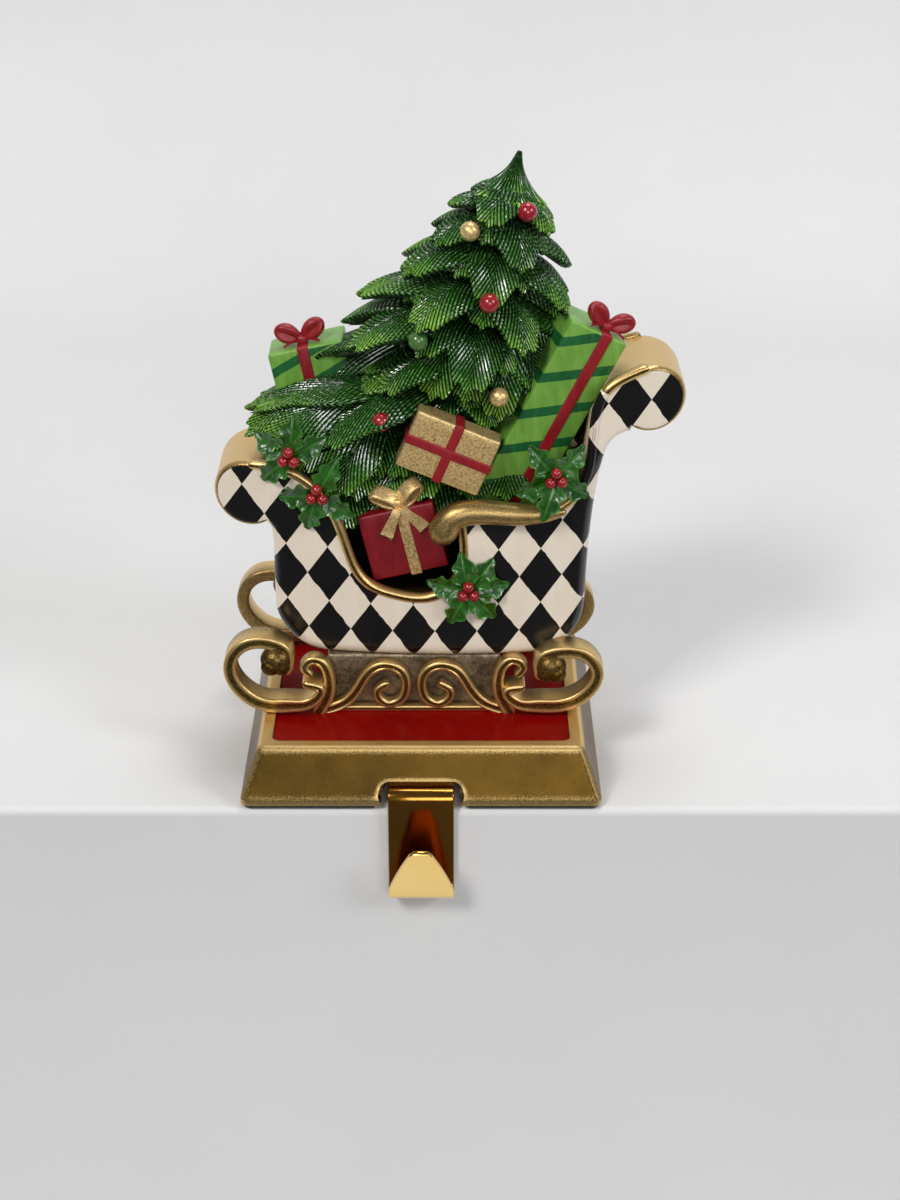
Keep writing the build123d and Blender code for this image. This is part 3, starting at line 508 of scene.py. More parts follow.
class Finish(Net):
    """A material with its shader, and constant values on the shader's inputs."""

    def __init__(self, name, **settings):
        self.material = bpy.data.materials.new(name)
        self.material.use_nodes = True
        super().__init__(self.material.node_tree)
        self.inputs = self.tree.nodes["Principled BSDF"].inputs
        for key, value in settings.items():
            self.inputs[key.replace("_", " ")].default_value = value

    def effect(self, make, *values):
        """The outputs of a shared effect that is given its own values."""
        made = self.node("Group", dict(enumerate(values)), node_tree=shared(make))
        return [Wire(self, socket) for socket in made.outputs]

    def done(self, colour, rough, relief):
        """The material, with its colour, its roughness and a relief of a height, a strength and a depth."""
        height, strength, depth = relief
        self.feed(self.inputs["Base Color"], colour)
        self.feed(self.inputs["Roughness"], rough)
        bump = {"Strength": strength, "Distance": depth * MM, "Height": height}
        self.feed(self.inputs["Normal"], self.value("Bump", "Normal", bump))
        return self.material


def rubbed_edges(net, speckle_scale, reach, softness):
    """Where paint is rubbed bright, from the wear mask broken up by speckle."""
    speckle = net.noise(speckle_scale, 6.0, 0.65).spread(0.3, 0.7)
    level = net.attribute("wear") + (speckle - 0.5) * 0.6
    return {"Mask": ((level + reach - 1.0) / softness).inside()}


def patina(net, cloud_scale, grain_scale, grain_share):
    """Uneven tone of an aged or hand-finished surface, broad clouds with fine grain on them."""
    cloud = net.noise(cloud_scale, 5.0, 0.6).spread(0.3, 0.7)
    grain = net.noise(grain_scale, 3.0, 0.7).spread(0.3, 0.7)
    return {"Tone": (cloud + (grain - 0.5) * grain_share).inside(), "Grain": grain}


def brush_strokes(net, scale, stretch):
    """The faint streaks that a brush leaves in paint."""
    sizes = net.value("CombineXYZ", 0, {"X": stretch, "Y": 1.0, "Z": 1.0})
    along = net.value("VectorMath", 0, {0: net.place(), 1: sizes}, operation="MULTIPLY")
    return {"Streak": net.noise(scale, 3.0, 0.55, along).spread(0.3, 0.7)}


# Names and inputs of the shared effects
EFFECTS = {
    rubbed_edges: ("Rubbed edges", ("Speckle Scale", "Reach", "Softness")),
    patina: ("Patina", ("Cloud Scale", "Grain Scale", "Grain")),
    brush_strokes: ("Brush strokes", ("Scale", "Stretch")),
}
MADE = {}


def shared(make):
    """The shader group of an effect, built once."""
    if make not in MADE:
        name, labels = EFFECTS[make]
        tree = bpy.data.node_groups.new(name, "ShaderNodeTree")
        for label in labels:
            tree.interface.new_socket(label, in_out="INPUT", socket_type="NodeSocketFloat")
        given = tree.nodes.new("NodeGroupInput")
        net = Net(tree)
        results = make(net, *[Wire(net, given.outputs[label]) for label in labels])
        for label in results:
            tree.interface.new_socket(label, in_out="OUTPUT", socket_type="NodeSocketFloat")
        end = tree.nodes.new("NodeGroupOutput")
        for label, value in results.items():
            net.feed(end.inputs[label], value)
        MADE[make] = tree
    return MADE[make]


def look():
    """The values that a user can change."""
    return bpy.context.scene.stocking_holder


def antique_gold(name):
    """Gold paint with a dark wash in its hollows, rubbed bright on the edges."""
    made = Finish(name, Metallic=0.88)
    (edges,) = made.effect(rubbed_edges, 2400.0, 0.7, 0.6)
    tone, grain = made.effect(patina, 45.0, 2400.0, 0.8)
    wash = made.blend(tone, look().gold_wash, look().gold_face)
    colour = made.blend(edges, wash, look().gold_edge)
    return made.done(colour, grain.between(0.28, 0.42), (grain, 0.12, 0.25))


def gold_leaf(name):
    """Rubbed gold leaf, broken by brown speckle."""
    made = Finish(name, Metallic=0.6)
    (edges,) = made.effect(rubbed_edges, 900.0, 0.8, 0.7)
    tone, grain = made.effect(patina, 1100.0, 2600.0, 0.7)
    leaf = made.blend(tone.spread(0.0, 0.62), (0.40, 0.20, 0.05), (1.0, 0.72, 0.32))
    colour = made.blend(edges * 0.6, leaf, (0.88, 0.68, 0.34))
    return made.done(colour, grain.between(0.24, 0.42), (tone, 0.2, 0.2))


def mottled_bronze(name):
    """Grey-brown metallic paint, cloudy and speckled."""
    made = Finish(name, Metallic=0.55)
    (edges,) = made.effect(rubbed_edges, 500.0, 0.45, 0.4)
    tone, grain = made.effect(patina, 130.0, 1100.0, 0.9)
    base = made.blend(tone, (0.075, 0.052, 0.028), (0.29, 0.225, 0.14))
    colour = made.blend(edges, base, (0.52, 0.43, 0.3))
    return made.done(colour, grain.between(0.34, 0.55), (grain, 0.2, 0.3))


def polished_brass(name):
    """Lacquered strip with a faint grain along it, painted dark amber on the strip for the dark surroundings
    that it reflects, and bright on the tongue's outer face as a painted reflection of the lit floor below.
    """
    made = Finish(name, Metallic=1.0, Coat_Weight=0.4, Coat_Roughness=0.08)
    (streak,) = made.effect(brush_strokes, 900.0, 14.0)
    tone, _ = made.effect(patina, 40.0, 900.0, 0.2)
    # Painted reflection: the bright brass on the tongue's outer face, and the dark amber on the rest of the
    # strip.
    bright = made.blend(tone, (0.97, 0.66, 0.20), (1.0, 0.74, 0.28))
    amber = made.blend(tone, (0.32, 0.140, 0.014), (0.44, 0.200, 0.022))
    colour = made.blend(made.attribute("tongue"), amber, bright)
    return made.done(colour, streak.between(0.13, 0.2), (streak, 0.03, 0.05))


def diamond_enamel(name):
    """Glossy black and ivory diamonds with hand-drawn edges."""
    made = Finish(name, Coat_Weight=0.15, Coat_Roughness=0.06)
    shake = (made.noise(190.0) - 0.5) * 1.1
    x, y, _ = made.split(made.value("UVMap", "UV", uv_map="wrap"))
    u = (x + shake) / (look().diamond_width / MM)
    v = (y + shake) / (look().diamond_height / MM)
    odd = ((u + v).to("FLOOR") + (u - v).to("FLOOR")).to("PINGPONG", 1.0)
    dark = odd.to("GREATER_THAN", 0.5)
    (streak,) = made.effect(brush_strokes, 60.0, 3.0)
    tone, _ = made.effect(patina, 70.0, 600.0, 0.2)
    ivory = made.blend(streak, (0.93, 0.81, 0.66), (0.96, 0.86, 0.72))
    black = made.blend(tone, (0.0025, 0.0025, 0.0025), (0.006, 0.0055, 0.0055))
    colour = made.blend(dark, ivory, black)
    return made.done(colour, streak.between(0.22, 0.32), (dark * 0.6 + streak, 0.08, 0.2))


def fir_needles(name):
    """Green paint with painted shade: near-black in the grooves between the needles and darker towards the
    roots inside the tree, a painted highlight of lighter green on the bough tips, and a pale dry brushing on
    the needles.
    """
    made = Finish(name)
    groove = made.attribute("groove")
    needle = made.split(made.value("UVMap", "UV", uv_map="wrap"))[0].to("PINGPONG", 0.5)
    tone, grain = made.effect(patina, 85.0, 900.0, 0.5)
    # The tip mask is painted light: painted shade in the dark green towards the roots inside the tree,
    # painted highlight in the light green at the bough tips.
    tip_light = made.attribute("tip") + (tone - 0.5) * 0.35
    leaf = made.blend(tip_light.spread(0.2, 0.75), look().fir_shade, look().fir_light)
    lit = made.blend(tip_light.spread(0.52, 1.0), leaf, look().fir_tip_highlight)
    # Painted shade: where the crest is low, down in the grooves between the needles, the green goes to
    # near-black.
    crest = groove * needle.spread(0.04, 0.36)
    green = made.blend(crest.spread(0.05, 0.75), (0.001, 0.006, 0.001), lit)
    brushed = needle.spread(0.38, 0.49) * grain.spread(0.5, 0.75) * groove.spread(0.5, 0.9, 0.0, 0.85)
    made.feed(made.inputs["Specular IOR Level"], crest.spread(0.15, 0.5, 0.05, 1.0))
    rough = grain.between(0.13, 0.24) + crest.spread(0.1, 0.4, 0.5, 0.0)
    return made.done(made.blend(brushed, green, (0.74, 0.80, 0.60)), rough, (needle, 1.0, 0.8))


def holly_leaf(name):
    """Waxy green leaf paint, lighter along the veins and the edge."""
    made = Finish(name, Coat_Weight=0.4, Coat_Roughness=0.1)
    tone, grain = made.effect(patina, 150.0, 900.0, 0.4)
    leaf = made.blend(tone, (0.004, 0.042, 0.003), (0.026, 0.165, 0.010))
    light = (made.attribute("groove") * 0.45).to("MAXIMUM", made.attribute("tip") * 0.55)
    colour = made.blend(light, leaf, (0.095, 0.34, 0.04))
    return made.done(colour, grain.between(0.24, 0.36), (grain, 0.08, 0.15))


def wrapping_paper(name, low, high, stripe=None, pitch=0.0, width=0.0, slope=0.0):
    """Satin paint on a gift, with dark stripes across its front if it has them."""
    made = Finish(name, Coat_Weight=0.15, Coat_Roughness=0.3)
    (streak,) = made.effect(brush_strokes, 110.0, 4.0)
    (edges,) = made.effect(rubbed_edges, 500.0, 0.35, 0.5)
    colour = made.blend(edges * 0.5, made.blend(streak, low, high), [min(1, 1.7 * c) for c in high])
    height = streak
    if stripe:
        x, _, z = made.split(made.place())
        level = z - x * slope + (made.noise(160.0) - 0.5) * 0.0006
        turn = (level / (pitch * MM)).to("FRACT")
        band = turn.to("LESS_THAN", width / pitch) * made.attribute("striped")
        colour = made.blend(band, colour, made.blend(streak, stripe, [1.6 * c for c in stripe]))
        height = streak - band * 1.5
    return made.done(colour, streak.between(0.34, 0.46), (height, 0.1, 0.25))


def plain_paint(name, clouds, low, high, rough, relief, pooled=False, **settings):
    """One colour with an uneven tone. Pooled paint is higher where its tone is."""
    made = Finish(name, **settings)
    tone, grain = made.effect(patina, *clouds)
    height = tone if pooled else grain
    return made.done(made.blend(tone, low, high), grain.between(*rough), (height, *relief))


BALL_PAINT = partial(
    plain_paint, clouds=(260.0, 1200.0, 0.3), rough=(0.22, 0.32), relief=(0.06, 0.1),
    Coat_Weight=0.7, Coat_Roughness=0.08,
)
GREEN_PAPER = partial(
    wrapping_paper, low=(0.15, 0.36, 0.045), high=(0.22, 0.47, 0.075), stripe=(0.006, 0.095, 0.022)
)
RECIPES = {
    "antique gold": antique_gold,
    "gold leaf": gold_leaf,
    "mottled bronze": mottled_bronze,
    "polished brass": polished_brass,
    "diamond enamel": diamond_enamel,
    "fir needles": fir_needles,
    "holly leaf": holly_leaf,
    "tall paper": partial(GREEN_PAPER, pitch=12.6, width=3.4, slope=0.07),
    "small paper": partial(GREEN_PAPER, pitch=12.0, width=3.8, slope=0.62),
    "red paper": partial(wrapping_paper, low=(0.19, 0.003, 0.009), high=(0.27, 0.005, 0.014)),
    "crimson ribbon": partial(wrapping_paper, low=(0.25, 0.006, 0.012), high=(0.36, 0.010, 0.018)),
    "berry red": partial(BALL_PAINT, low=(0.24, 0.004, 0.008), high=(0.42, 0.010, 0.014)),
    "ball_red": partial(BALL_PAINT, low=(0.26, 0.004, 0.012), high=(0.44, 0.010, 0.022)),
    "ball_green": partial(BALL_PAINT, low=(0.05, 0.15, 0.03), high=(0.10, 0.25, 0.05)),
    "red enamel": partial(
        plain_paint, clouds=(35.0, 500.0, 0.15), low=(0.21, 0.0006, 0.0010), high=(0.29, 0.0010, 0.0015),
        rough=(0.24, 0.34), relief=(0.05, 0.3), pooled=True, Specular_IOR_Level=0.06,
    ),
    "felt": partial(
        plain_paint, clouds=(300.0, 2600.0, 0.8), low=(0.012, 0.011, 0.011), high=(0.05, 0.047, 0.044),
        rough=(0.85, 1.0), relief=(0.7, 0.4), Sheen_Weight=0.4,
    ),
    "plated steel": partial(
        plain_paint, clouds=(400.0, 2500.0, 0.4), low=(0.38, 0.37, 0.34), high=(0.58, 0.56, 0.5),
        rough=(0.28, 0.42), relief=(0.1, 0.08), Metallic=1.0,
    ),
}


def finish(name):
    """A finish by its name, built once."""
    if name not in MADE:
        MADE[name] = RECIPES[name](name)
    return MADE[name]


# Pieces


def softened(heap, node, width, slices=(), wear=None):
    """A solid's own form with its edges rounded over. wear gives the mask from a place in millimetres."""
    form = bmesh.new()
    form.from_mesh(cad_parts[node].data)
    bmesh.ops.remove_doubles(form, verts=form.verts, dist=1e-6)
    bmesh.ops.dissolve_limit(form, angle_limit=radians(1), verts=form.verts, edges=form.edges)
    sharp = [e for e in form.edges if len(e.link_faces) == 2 and e.calc_face_angle(0) > radians(28)]
    bmesh.ops.bevel(
        form, geom=sharp, offset=width * MM, segments=3, profile=0.5, affect="EDGES", clamp_overlap=True
    )
    for axis, places in slices:
        normal = Vector([float(k == axis) for k in range(3)])
        for place in places:
            everything = form.verts[:] + form.edges[:] + form.faces[:]
            bmesh.ops.bisect_plane(form, geom=everything, plane_co=normal * place * MM, plane_no=normal)
    bmesh.ops.triangulate(form, faces=form.faces)
    form.verts.index_update()
    verts = np.array([v.co for v in form.verts]) / MM
    faces = [[v.index for v in f.verts] for f in form.faces]
    form.free()
    heap.add(verts, faces, 0, wear=wear(verts) if wear else 0.0)


def base_wear(p):
    """How rubbed the base is: along its top and foot, on its mitres and round the hook's mouth."""
    slope = np.clip((p[:, 2] - 3.6) / 18.0, 0, 1) * BASE_BEVEL
    ends = BASE_HALF_WIDTH - slope - np.abs(p[:, 0])
    sides = BASE_HALF_DEPTH - slope - np.abs(p[:, 1])
    rim = np.clip(1 - (BASE_TOP - p[:, 2]) / 3.4, 0, 1)
    foot = np.clip(1 - (p[:, 2] - 2.0) / 5.0, 0, 1)
    mitre = np.clip(1 - np.maximum(ends, sides) / 3.2, 0, 1) * (np.minimum(ends, sides) < 2.0)
    mouth = np.array([(-16.4, 1.6), (-14.4, 7.8), (-13.0, 9.4), (-10.4, 10.0)])
    mouth = np.concatenate([mouth, mouth[::-1] * (-1, 1)])
    notch = np.clip(1.15 - distance_to(p[:, [0, 2]], mouth) / 1.8, 0, 1) * (p[:, 1] < -50.5)
    return np.maximum.reduce([rim, 0.8 * foot, 0.9 * mitre, 0.9 * notch])


def enamel_field(heap):
    """The red field, drawn up a little where it meets the lip round it."""
    low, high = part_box("field_enamel")
    rows, columns = 33, 37
    x = np.linspace(low.x, high.x, columns)[None, :] / MM
    y = np.linspace(low.y, high.y, rows)[:, None] / MM
    ends = np.minimum(x - low.x / MM, high.x / MM - x)
    sides = np.minimum(y - low.y / MM, high.y / MM - y)
    edge = np.minimum(ends, sides)
    z = FIELD_Z + 0.35 * np.exp(-edge / 1.6)
    top = np.stack([x + 0 * y, y + 0 * x, z], -1).reshape(-1, 3)
    under = top.copy()
    under[:, 2] = low.z / MM
    heap.add(np.concatenate([top, under]), sheet_faces(rows, columns))


def hook_line():
    """The middle of the hook's strip from the side: back along the tang, down, round the cup and up."""
    half = HOOK_THICKNESS / 2
    tang_z = CHANNEL_CEILING - half
    strip_y = -BASE_HALF_DEPTH - HOOK_STANDOFF - half
    bend, cup = HOOK_BEND + half, HOOK_CUP + half
    cup_z = half + cup - HOOK_DROP
    corner = np.radians(np.linspace(6, 90, 14))
    turn = np.radians(np.linspace(0, 158, 22)[1:])
    line = [(y, tang_z) for y in np.linspace(TANG_LENGTH - BASE_HALF_DEPTH, strip_y + bend, 16)]
    line += [(strip_y + bend - bend * sin(t), tang_z - bend + bend * cos(t)) for t in corner]
    line += [(strip_y, z) for z in np.linspace(tang_z - bend, cup_z, 14)[1:]]
    line += [(strip_y - cup + cup * cos(t), cup_z - cup * sin(t)) for t in turn]
    y, z = line[-1]
    tongue = np.linspace(0, TONGUE_LENGTH, 30)[1:]
    line += [(y - s * sin(TONGUE_LEAN), z + s * cos(TONGUE_LEAN)) for s in tongue]
    return np.array(line), len(tongue)


def hook_strip(heap):
    """The bent strip, which narrows up its tongue."""
    line, tongue_rows = hook_line()
    count = len(line)
    run = unit(np.gradient(line, axis=0))
    normal = np.stack([-run[:, 1], run[:, 0]], 1)
    half = HOOK_WIDTH / 2
    widths = np.full(count, half)
    for i in range(count - tongue_rows, count):
        fall = np.clip((line[i][1] - (line[-1][1] - TONGUE_TAPER)) / TONGUE_TAPER, 0, 1)
        widths[i] = half + (TONGUE_TIP / 2 - half) * fall + TONGUE_BULGE * fall * (1 - fall)
    widths[-1] *= 0.82
    # The tongue mask marks the outer face of the tongue's last rows, which carry the painted reflection of
    # the lit floor.
    reflection_from = count - 45
    rows, wear, tongue = [], [], []
    for i in range(count):
        part = section(2 * widths[i], HOOK_THICKNESS, 0.5, 0.0)
        for a, b, rub in part:
            place = line[i] + normal[i] * (b - HOOK_THICKNESS / 2)
            rows.append((a, place[0], place[1]))
            wear.append(rub)
            tongue.append(float(i >= reflection_from and b > 0.35 * HOOK_THICKNESS))
    heap.add(np.array(rows), rod_faces(count, len(part)), 0, wear=wear, tongue=tongue)


def runner(heap, mirror):
    """One side of scrollwork: rings, curls and volutes on a bar."""
    seat = BASE_TOP - FIELD_Z + RING_FOOT / 2
    bar = [(x, BAR_HEIGHT / 2) for x in np.linspace(-BAR_HALF_LENGTH, BAR_HALF_LENGTH, 20)]
    strip(heap, bar, BAR_HEIGHT, PEDESTAL_FRONT - 3.8, 3.8, 0.7, 0.0, mirror, 0, FIELD_Z)
    shares = np.linspace(0, 1, 120)
    ring = np.interp(shares, (0, 0.27, 0.67, 1), (SCROLL_EYE, RING_FOOT, RING_SIDE, SCROLL_STRIP))
    curl = np.linspace(SCROLL_STRIP, SCROLL_EYE, 60)
    volute = np.linspace(VOLUTE_STRIP, SCROLL_EYE, 110)
    for hand, rise in ((-1, 1.0), (1, 0.85)):
        for form, lift, grow, widths, proud, depth, dish in (
            (RING, seat, rise, ring, 9.0, 10.0, 0.3),
            (CURL, 0.0, 1.0, curl, 6.0, 6.0, 0.3),
            (VOLUTE, 0.0, 1.0, volute, 5.0, 5.0, 0.35),
        ):
            line = smooth_line([(hand * x, lift + grow * z) for x, z in form], len(widths))
            strip(heap, line, widths, PEDESTAL_FRONT - proud, depth, 0.9, dish, mirror, 0, FIELD_Z)
        x = SLEIGH_X + hand * 48.4
        z = FIELD_Z + seat + rise * 17.1
        for outwards, back, up, radius in KNOB:
            y = PEDESTAL_FRONT - 7.5 + back
            y = y if mirror is None else 2 * mirror - y
            ball(heap, (x + hand * outwards, y, z + up), radius, 0, (1.05, 0.9, 0.95), wear=0.3 + 0.1 * back)


def side_y(x):
    """Depth of the tub's near side at a place along the sleigh."""
    step = np.asarray(x) - TUB_PLAN_X
    return SLEIGH_Y - TUB_HALF_DEPTH + PLAN_RADIUS - np.sqrt(PLAN_RADIUS**2 - step**2)


def distance_to(points, chain):
    """Distance of each point to a chain of straight runs."""
    best = np.full(len(points), 1e9)
    for start, stop in zip(chain[:-1], chain[1:]):
        run = stop - start
        size = run @ run
        t = np.clip(((points - start) @ run) / size, 0, 1) if size > 1e-12 else np.zeros(len(points))
        best = np.minimum(best, np.linalg.norm(points - start - t[:, None] * run, axis=1))
    return best


def fill(loop, pitch, rows):
    """Triangles over an outline, with rows of places that follow its edge and a net inside."""
    closed = np.concatenate([loop, loop[:1]])
    low, high = loop.min(0), loop.max(0)
    run = unit(np.roll(loop, -1, 0) - np.roll(loop, 1, 0))
    inward = np.stack([-run[:, 1], run[:, 0]], 1)
    places = [loop]
    for inset in rows:
        row = loop + inward * inset
        places.append(row[distance_to(row, closed) > 0.96 * inset])
    across, up = ((high - low) / pitch).astype(int)
    steps = [(i + 0.5 * (k % 2), k) for i in range(across) for k in range(up)]
    net = low + pitch * np.array(steps)
    places.append(net[distance_to(net, closed) > rows[-1] + 0.5 * pitch])
    count = len(loop)
    edges = [(i, (i + 1) % count) for i in range(count)]
    points = [Vector(p) for p in np.concatenate(places)]
    verts, _, faces, _, _, _ = geometry.delaunay_2d_cdt(points, edges, [list(range(count))], 1, 1e-5)
    return np.array([(v.x, v.y) for v in verts]), [list(f) for f in faces]


def tub_outline():
    """The side of the tub anticlockwise, and for each place whether it is enamel, gold roll or rim."""
    left, right = TUB_CORNER - TUB_FRONT, TUB_BACK - TUB_CORNER
    runs = (
        ("enamel", [(x, 0.0) for x in np.linspace(left, right, 34)]),
        ("enamel", arc(right, TUB_CORNER, TUB_CORNER, -90, 0, 16)[1:]),
        ("enamel", smooth_line(BACK_WALL, 26)[1:]),
        ("enamel", smooth_line(BACK_NECK, 9)[1:]),
        ("gold", arc(*BACK_ROLL, -127, 105, 44)),
        ("rim", smooth_line(BACK_RIM, 44)[::-1][1:]),
        ("rim", smooth_line(FRONT_RIM, 60)[::-1]),
        ("gold", arc(*FRONT_ROLL, 78, 303, 44)),
        ("enamel", smooth_line(FRONT_NECK, 8)[1:]),
        ("enamel", [(-TUB_FRONT, h) for h in np.linspace(FRONT_NECK[-1][1], TUB_CORNER, 14)][1:]),
        ("enamel", arc(left, TUB_CORNER, TUB_CORNER, 180, 270, 16)[1:-1]),
    )
    points = [tuple(p) for _, run in runs for p in run]
    return np.array(points), [kind for kind, run in runs for _ in run]


def wrap_round(place, outward, across):
    """Where a place on the wall of the tub lies in the painted pattern, unrolled from the side's edge."""
    x, z = place
    if abs(outward[0]) < 0.02:
        return place + outward * across
    hand = 1 if outward[0] > 0 else -1
    if z < TUB_CORNER:
        x = hand * max(abs(x), TUB_BACK if hand > 0 else TUB_FRONT)
        z = TUB_CORNER + TUB_CORNER * asin(max(-1.0, z / TUB_CORNER - 1))
    return np.array([x + hand * across, z])


def tub_places(spots, y):
    """Places in space for spots on the side of the tub at a depth."""
    return np.stack([SLEIGH_X + spots[:, 0], y, TUB_Z + spots[:, 1]], 1)


def half_depth(spots, inside):
    """Half the tub's depth at spots so far inside its rounded edge, which is tighter on the rolls."""
    left = np.clip((-46.0 - spots[:, 0]) / 5.0, 0, 1)
    right = np.clip((spots[:, 1] - 70.0) / 8.0, 0, 1) * np.clip((spots[:, 0] - 50) / 8.0, 0, 1)
    r = 4.4 - 2.6 * np.maximum(left, right)
    d = np.minimum(inside, r)
    return (SLEIGH_Y - side_y(spots[:, 0])) - (r - np.sqrt(np.maximum(0, r**2 - (r - d) ** 2)))


def tub_body(heap):
    """The two rounded sides of the tub and the wall round them, with its rolled ends."""
    outline, kinds = tub_outline()
    count = len(outline)
    after = [(i + 1) % count for i in range(count)]
    walls = [i for i in range(count) if kinds[i] != "rim" and kinds[after[i]] != "rim"]
    rolls = [i for i in walls if kinds[i] == kinds[after[i]] == "gold"]
    spots, faces = fill(outline, 2.3, (0.6, 1.3, 2.4, 3.9, 5.6))
    to_wall = np.full(len(spots), 1e9)
    to_roll = np.full(len(spots), 1e9)
    for i in walls:
        gap = distance_to(spots, outline[[i, after[i]]])
        to_wall = np.minimum(to_wall, gap)
        if i in rolls:
            to_roll = np.minimum(to_roll, gap)
    deep = half_depth(spots, to_wall)
    picks = [1 if max(to_roll[i] for i in f) < 1.75 else 0 for f in faces]
    for hand in (-1, 1):
        places = tub_places(spots, SLEIGH_Y + hand * deep)
        heap.add(places, faces, picks, uv=spots, wear=np.clip(1 - to_roll / 2.0, 0, 1))
    run = unit(np.roll(outline, -1, 0) - np.roll(outline, 1, 0))
    outward = np.stack([run[:, 1], -run[:, 0]], 1)
    shares = np.linspace(-1, 1, WALL_ROWS)
    for i in walls:
        pair = outline[[i, after[i]]]
        depth = half_depth(pair, np.zeros(2))
        places = [tub_places(np.tile(pair[k], (WALL_ROWS, 1)), SLEIGH_Y + shares * depth[k]) for k in (0, 1)]
        uv = []
        for k, j in enumerate((i, after[i])):
            uv += [wrap_round(pair[k], outward[j], (s + 1) * depth[k]) for s in shares]
        gold = int(i in rolls)
        heap.add(np.concatenate(places), grid_faces(2, WALL_ROWS), gold, uv=uv, wear=float(gold))


def tub_lining(heap):
    """The gold inside of the tub: its ends and floor, and a thin wall within each side."""
    floor = [(TUB_WALL - TUB_FRONT, TUB_FLOOR), (TUB_BACK - TUB_WALL, TUB_FLOOR)]
    chain = np.concatenate([smooth_line(FRONT_LINING, 10), floor, smooth_line(BACK_LINING, 14)])
    deep = (SLEIGH_Y - side_y(chain[:, 0])) - TUB_WALL
    spots = np.repeat(chain, WALL_ROWS, axis=0)
    y = SLEIGH_Y + (deep[:, None] * np.linspace(-1, 1, WALL_ROWS)).ravel()
    wear = np.interp(spots[:, 1], (40, 71), (0.35, 1.0))
    heap.add(tub_places(spots, y), grid_faces(len(chain), WALL_ROWS), 1, wear=wear)
    rim = np.concatenate([smooth_line(BACK_RIM, 30)[::-1], smooth_line(FRONT_RIM, 40)[::-1]])
    spots, faces = fill(np.concatenate([chain, rim]), 4.0, (1.0, 2.5))
    deep = (SLEIGH_Y - side_y(spots[:, 0])) - TUB_WALL
    for hand in (-1, 1):
        heap.add(tub_places(spots, SLEIGH_Y + hand * deep), faces, 1, wear=0.35)


def tub_trim(heap):
    """The rim along the openings of the tub and the scrolled arms on it."""
    for rim_line, samples, roll_end in ((FRONT_RIM, 70, slice(None)), (BACK_RIM, 54, slice(-9, None))):
        path = smooth_line(rim_line, samples)
        golden = path[:, 1] <= GOLD_RIM_TOP
        golden[roll_end] = True
        cuts = np.flatnonzero(golden[1:] != golden[:-1]) + 1
        for part, gold in zip(np.split(path, cuts), np.split(golden, cuts)):
            front = side_y(part[:, 0]) - 0.8
            for mirror in (None, SLEIGH_Y):
                strip(heap, part, RIM_WIDTH, front, TUB_WALL + 1.2, 1.5, 0.0, mirror, int(gold[0]), TUB_Z)
    count = 40
    path = smooth_line(ARM, count)
    radii = np.interp(np.linspace(0, 1, count), (0, 0.12, 0.35, 0.75, 1), (1.5, 3.0, 4.1, 4.6, 5.2))
    deep = SLEIGH_Y - float(side_y(20.0))
    for hand in (-1, 1):
        tube(heap, tub_places(path, np.full(count, SLEIGH_Y + hand * deep)), radii, 24, 1, 0.6)


def gift_axes(x, z, front, depth, turn, yaw):
    """Middle and directions of a box that leans over sideways, with its front face at a depth."""
    lean = radians(turn)
    middle = np.array([SLEIGH_X + x, front + depth / 2, TUB_Z + z])
    x_axis = np.array([cos(lean), 0, -sin(lean)])
    z_axis = np.array([sin(lean), 0, cos(lean)])
    y_axis = np.cross(z_axis, x_axis)
    t = radians(yaw)
    return middle, np.array([cos(t) * x_axis + sin(t) * y_axis, cos(t) * y_axis - sin(t) * x_axis, z_axis])


def gift(heap, middle, axes, size, ribbon, shift, crossed=False):
    """A box with a ribbon round it, and one across if it is tied both ways."""
    width, depth, height = size
    soft_box(heap, axes, middle, size, 0.8, 0, 8, 0.7)
    soft_box(heap, axes, middle + axes[0] * shift, (ribbon, depth + 1.0, height + 1.0), 0.45, 1, 4, 0.4)
    if crossed:
        soft_box(heap, axes, middle, (width + 1.1, depth + 1.1, ribbon), 0.45, 1, 4, 0.4)


def open_loop(heap, centre, run, over, across, wide, high, width):
    """An open turn of ribbon, rounded at its edges."""
    thick = 1.5
    t = np.linspace(0, 2 * pi, 30)[:, None]
    path = centre + wide * np.cos(t) * run + high * np.sin(t) * over
    normal = unit(np.cross(unit(np.gradient(path, axis=0)), across))
    part = section(thick, width, 0.45 * thick, 0.0)
    rows = [p + n * part[:, :1] + across * (part[:, 1:2] - width / 2) for p, n in zip(path, normal)]
    faces = grid_faces(len(rows), len(part), closed=True)
    heap.add(np.concatenate(rows), faces, 1, wear=np.tile(part[:, 2] * 0.6, len(rows)))


def plump_loop(heap, root, run, up, front, length, high, deep):
    """One padded loop of a bow, pinched at the knot, with a fold along its front."""
    rows, columns = 18, 24
    u = np.sin(np.linspace(0, pi / 2, rows))[:, None]
    t = np.linspace(0, 2 * pi, columns, endpoint=False)[None, :]
    swell = 0.3 + 0.7 * np.sin(pi * u / 1.1)
    end = np.sqrt(np.maximum(0.0004, 1 - ((u - 0.55) / 0.45) ** 2))
    girth = np.where(u < 0.55, swell, end)
    fold = 1 - 0.6 * np.exp(-(((t - pi / 2) / 0.5) ** 2)) * np.sin(pi * u) ** 0.5
    rise = high * girth * np.cos(t)
    out = deep * (0.45 + 0.55 * girth) * girth**0.5 * np.sin(t) * fold
    places = root + (u * length + 0 * t)[..., None] * run + rise[..., None] * up + out[..., None] * front
    heap.add(places.reshape(-1, 3), rod_faces(rows, columns), 1, wear=0.1)


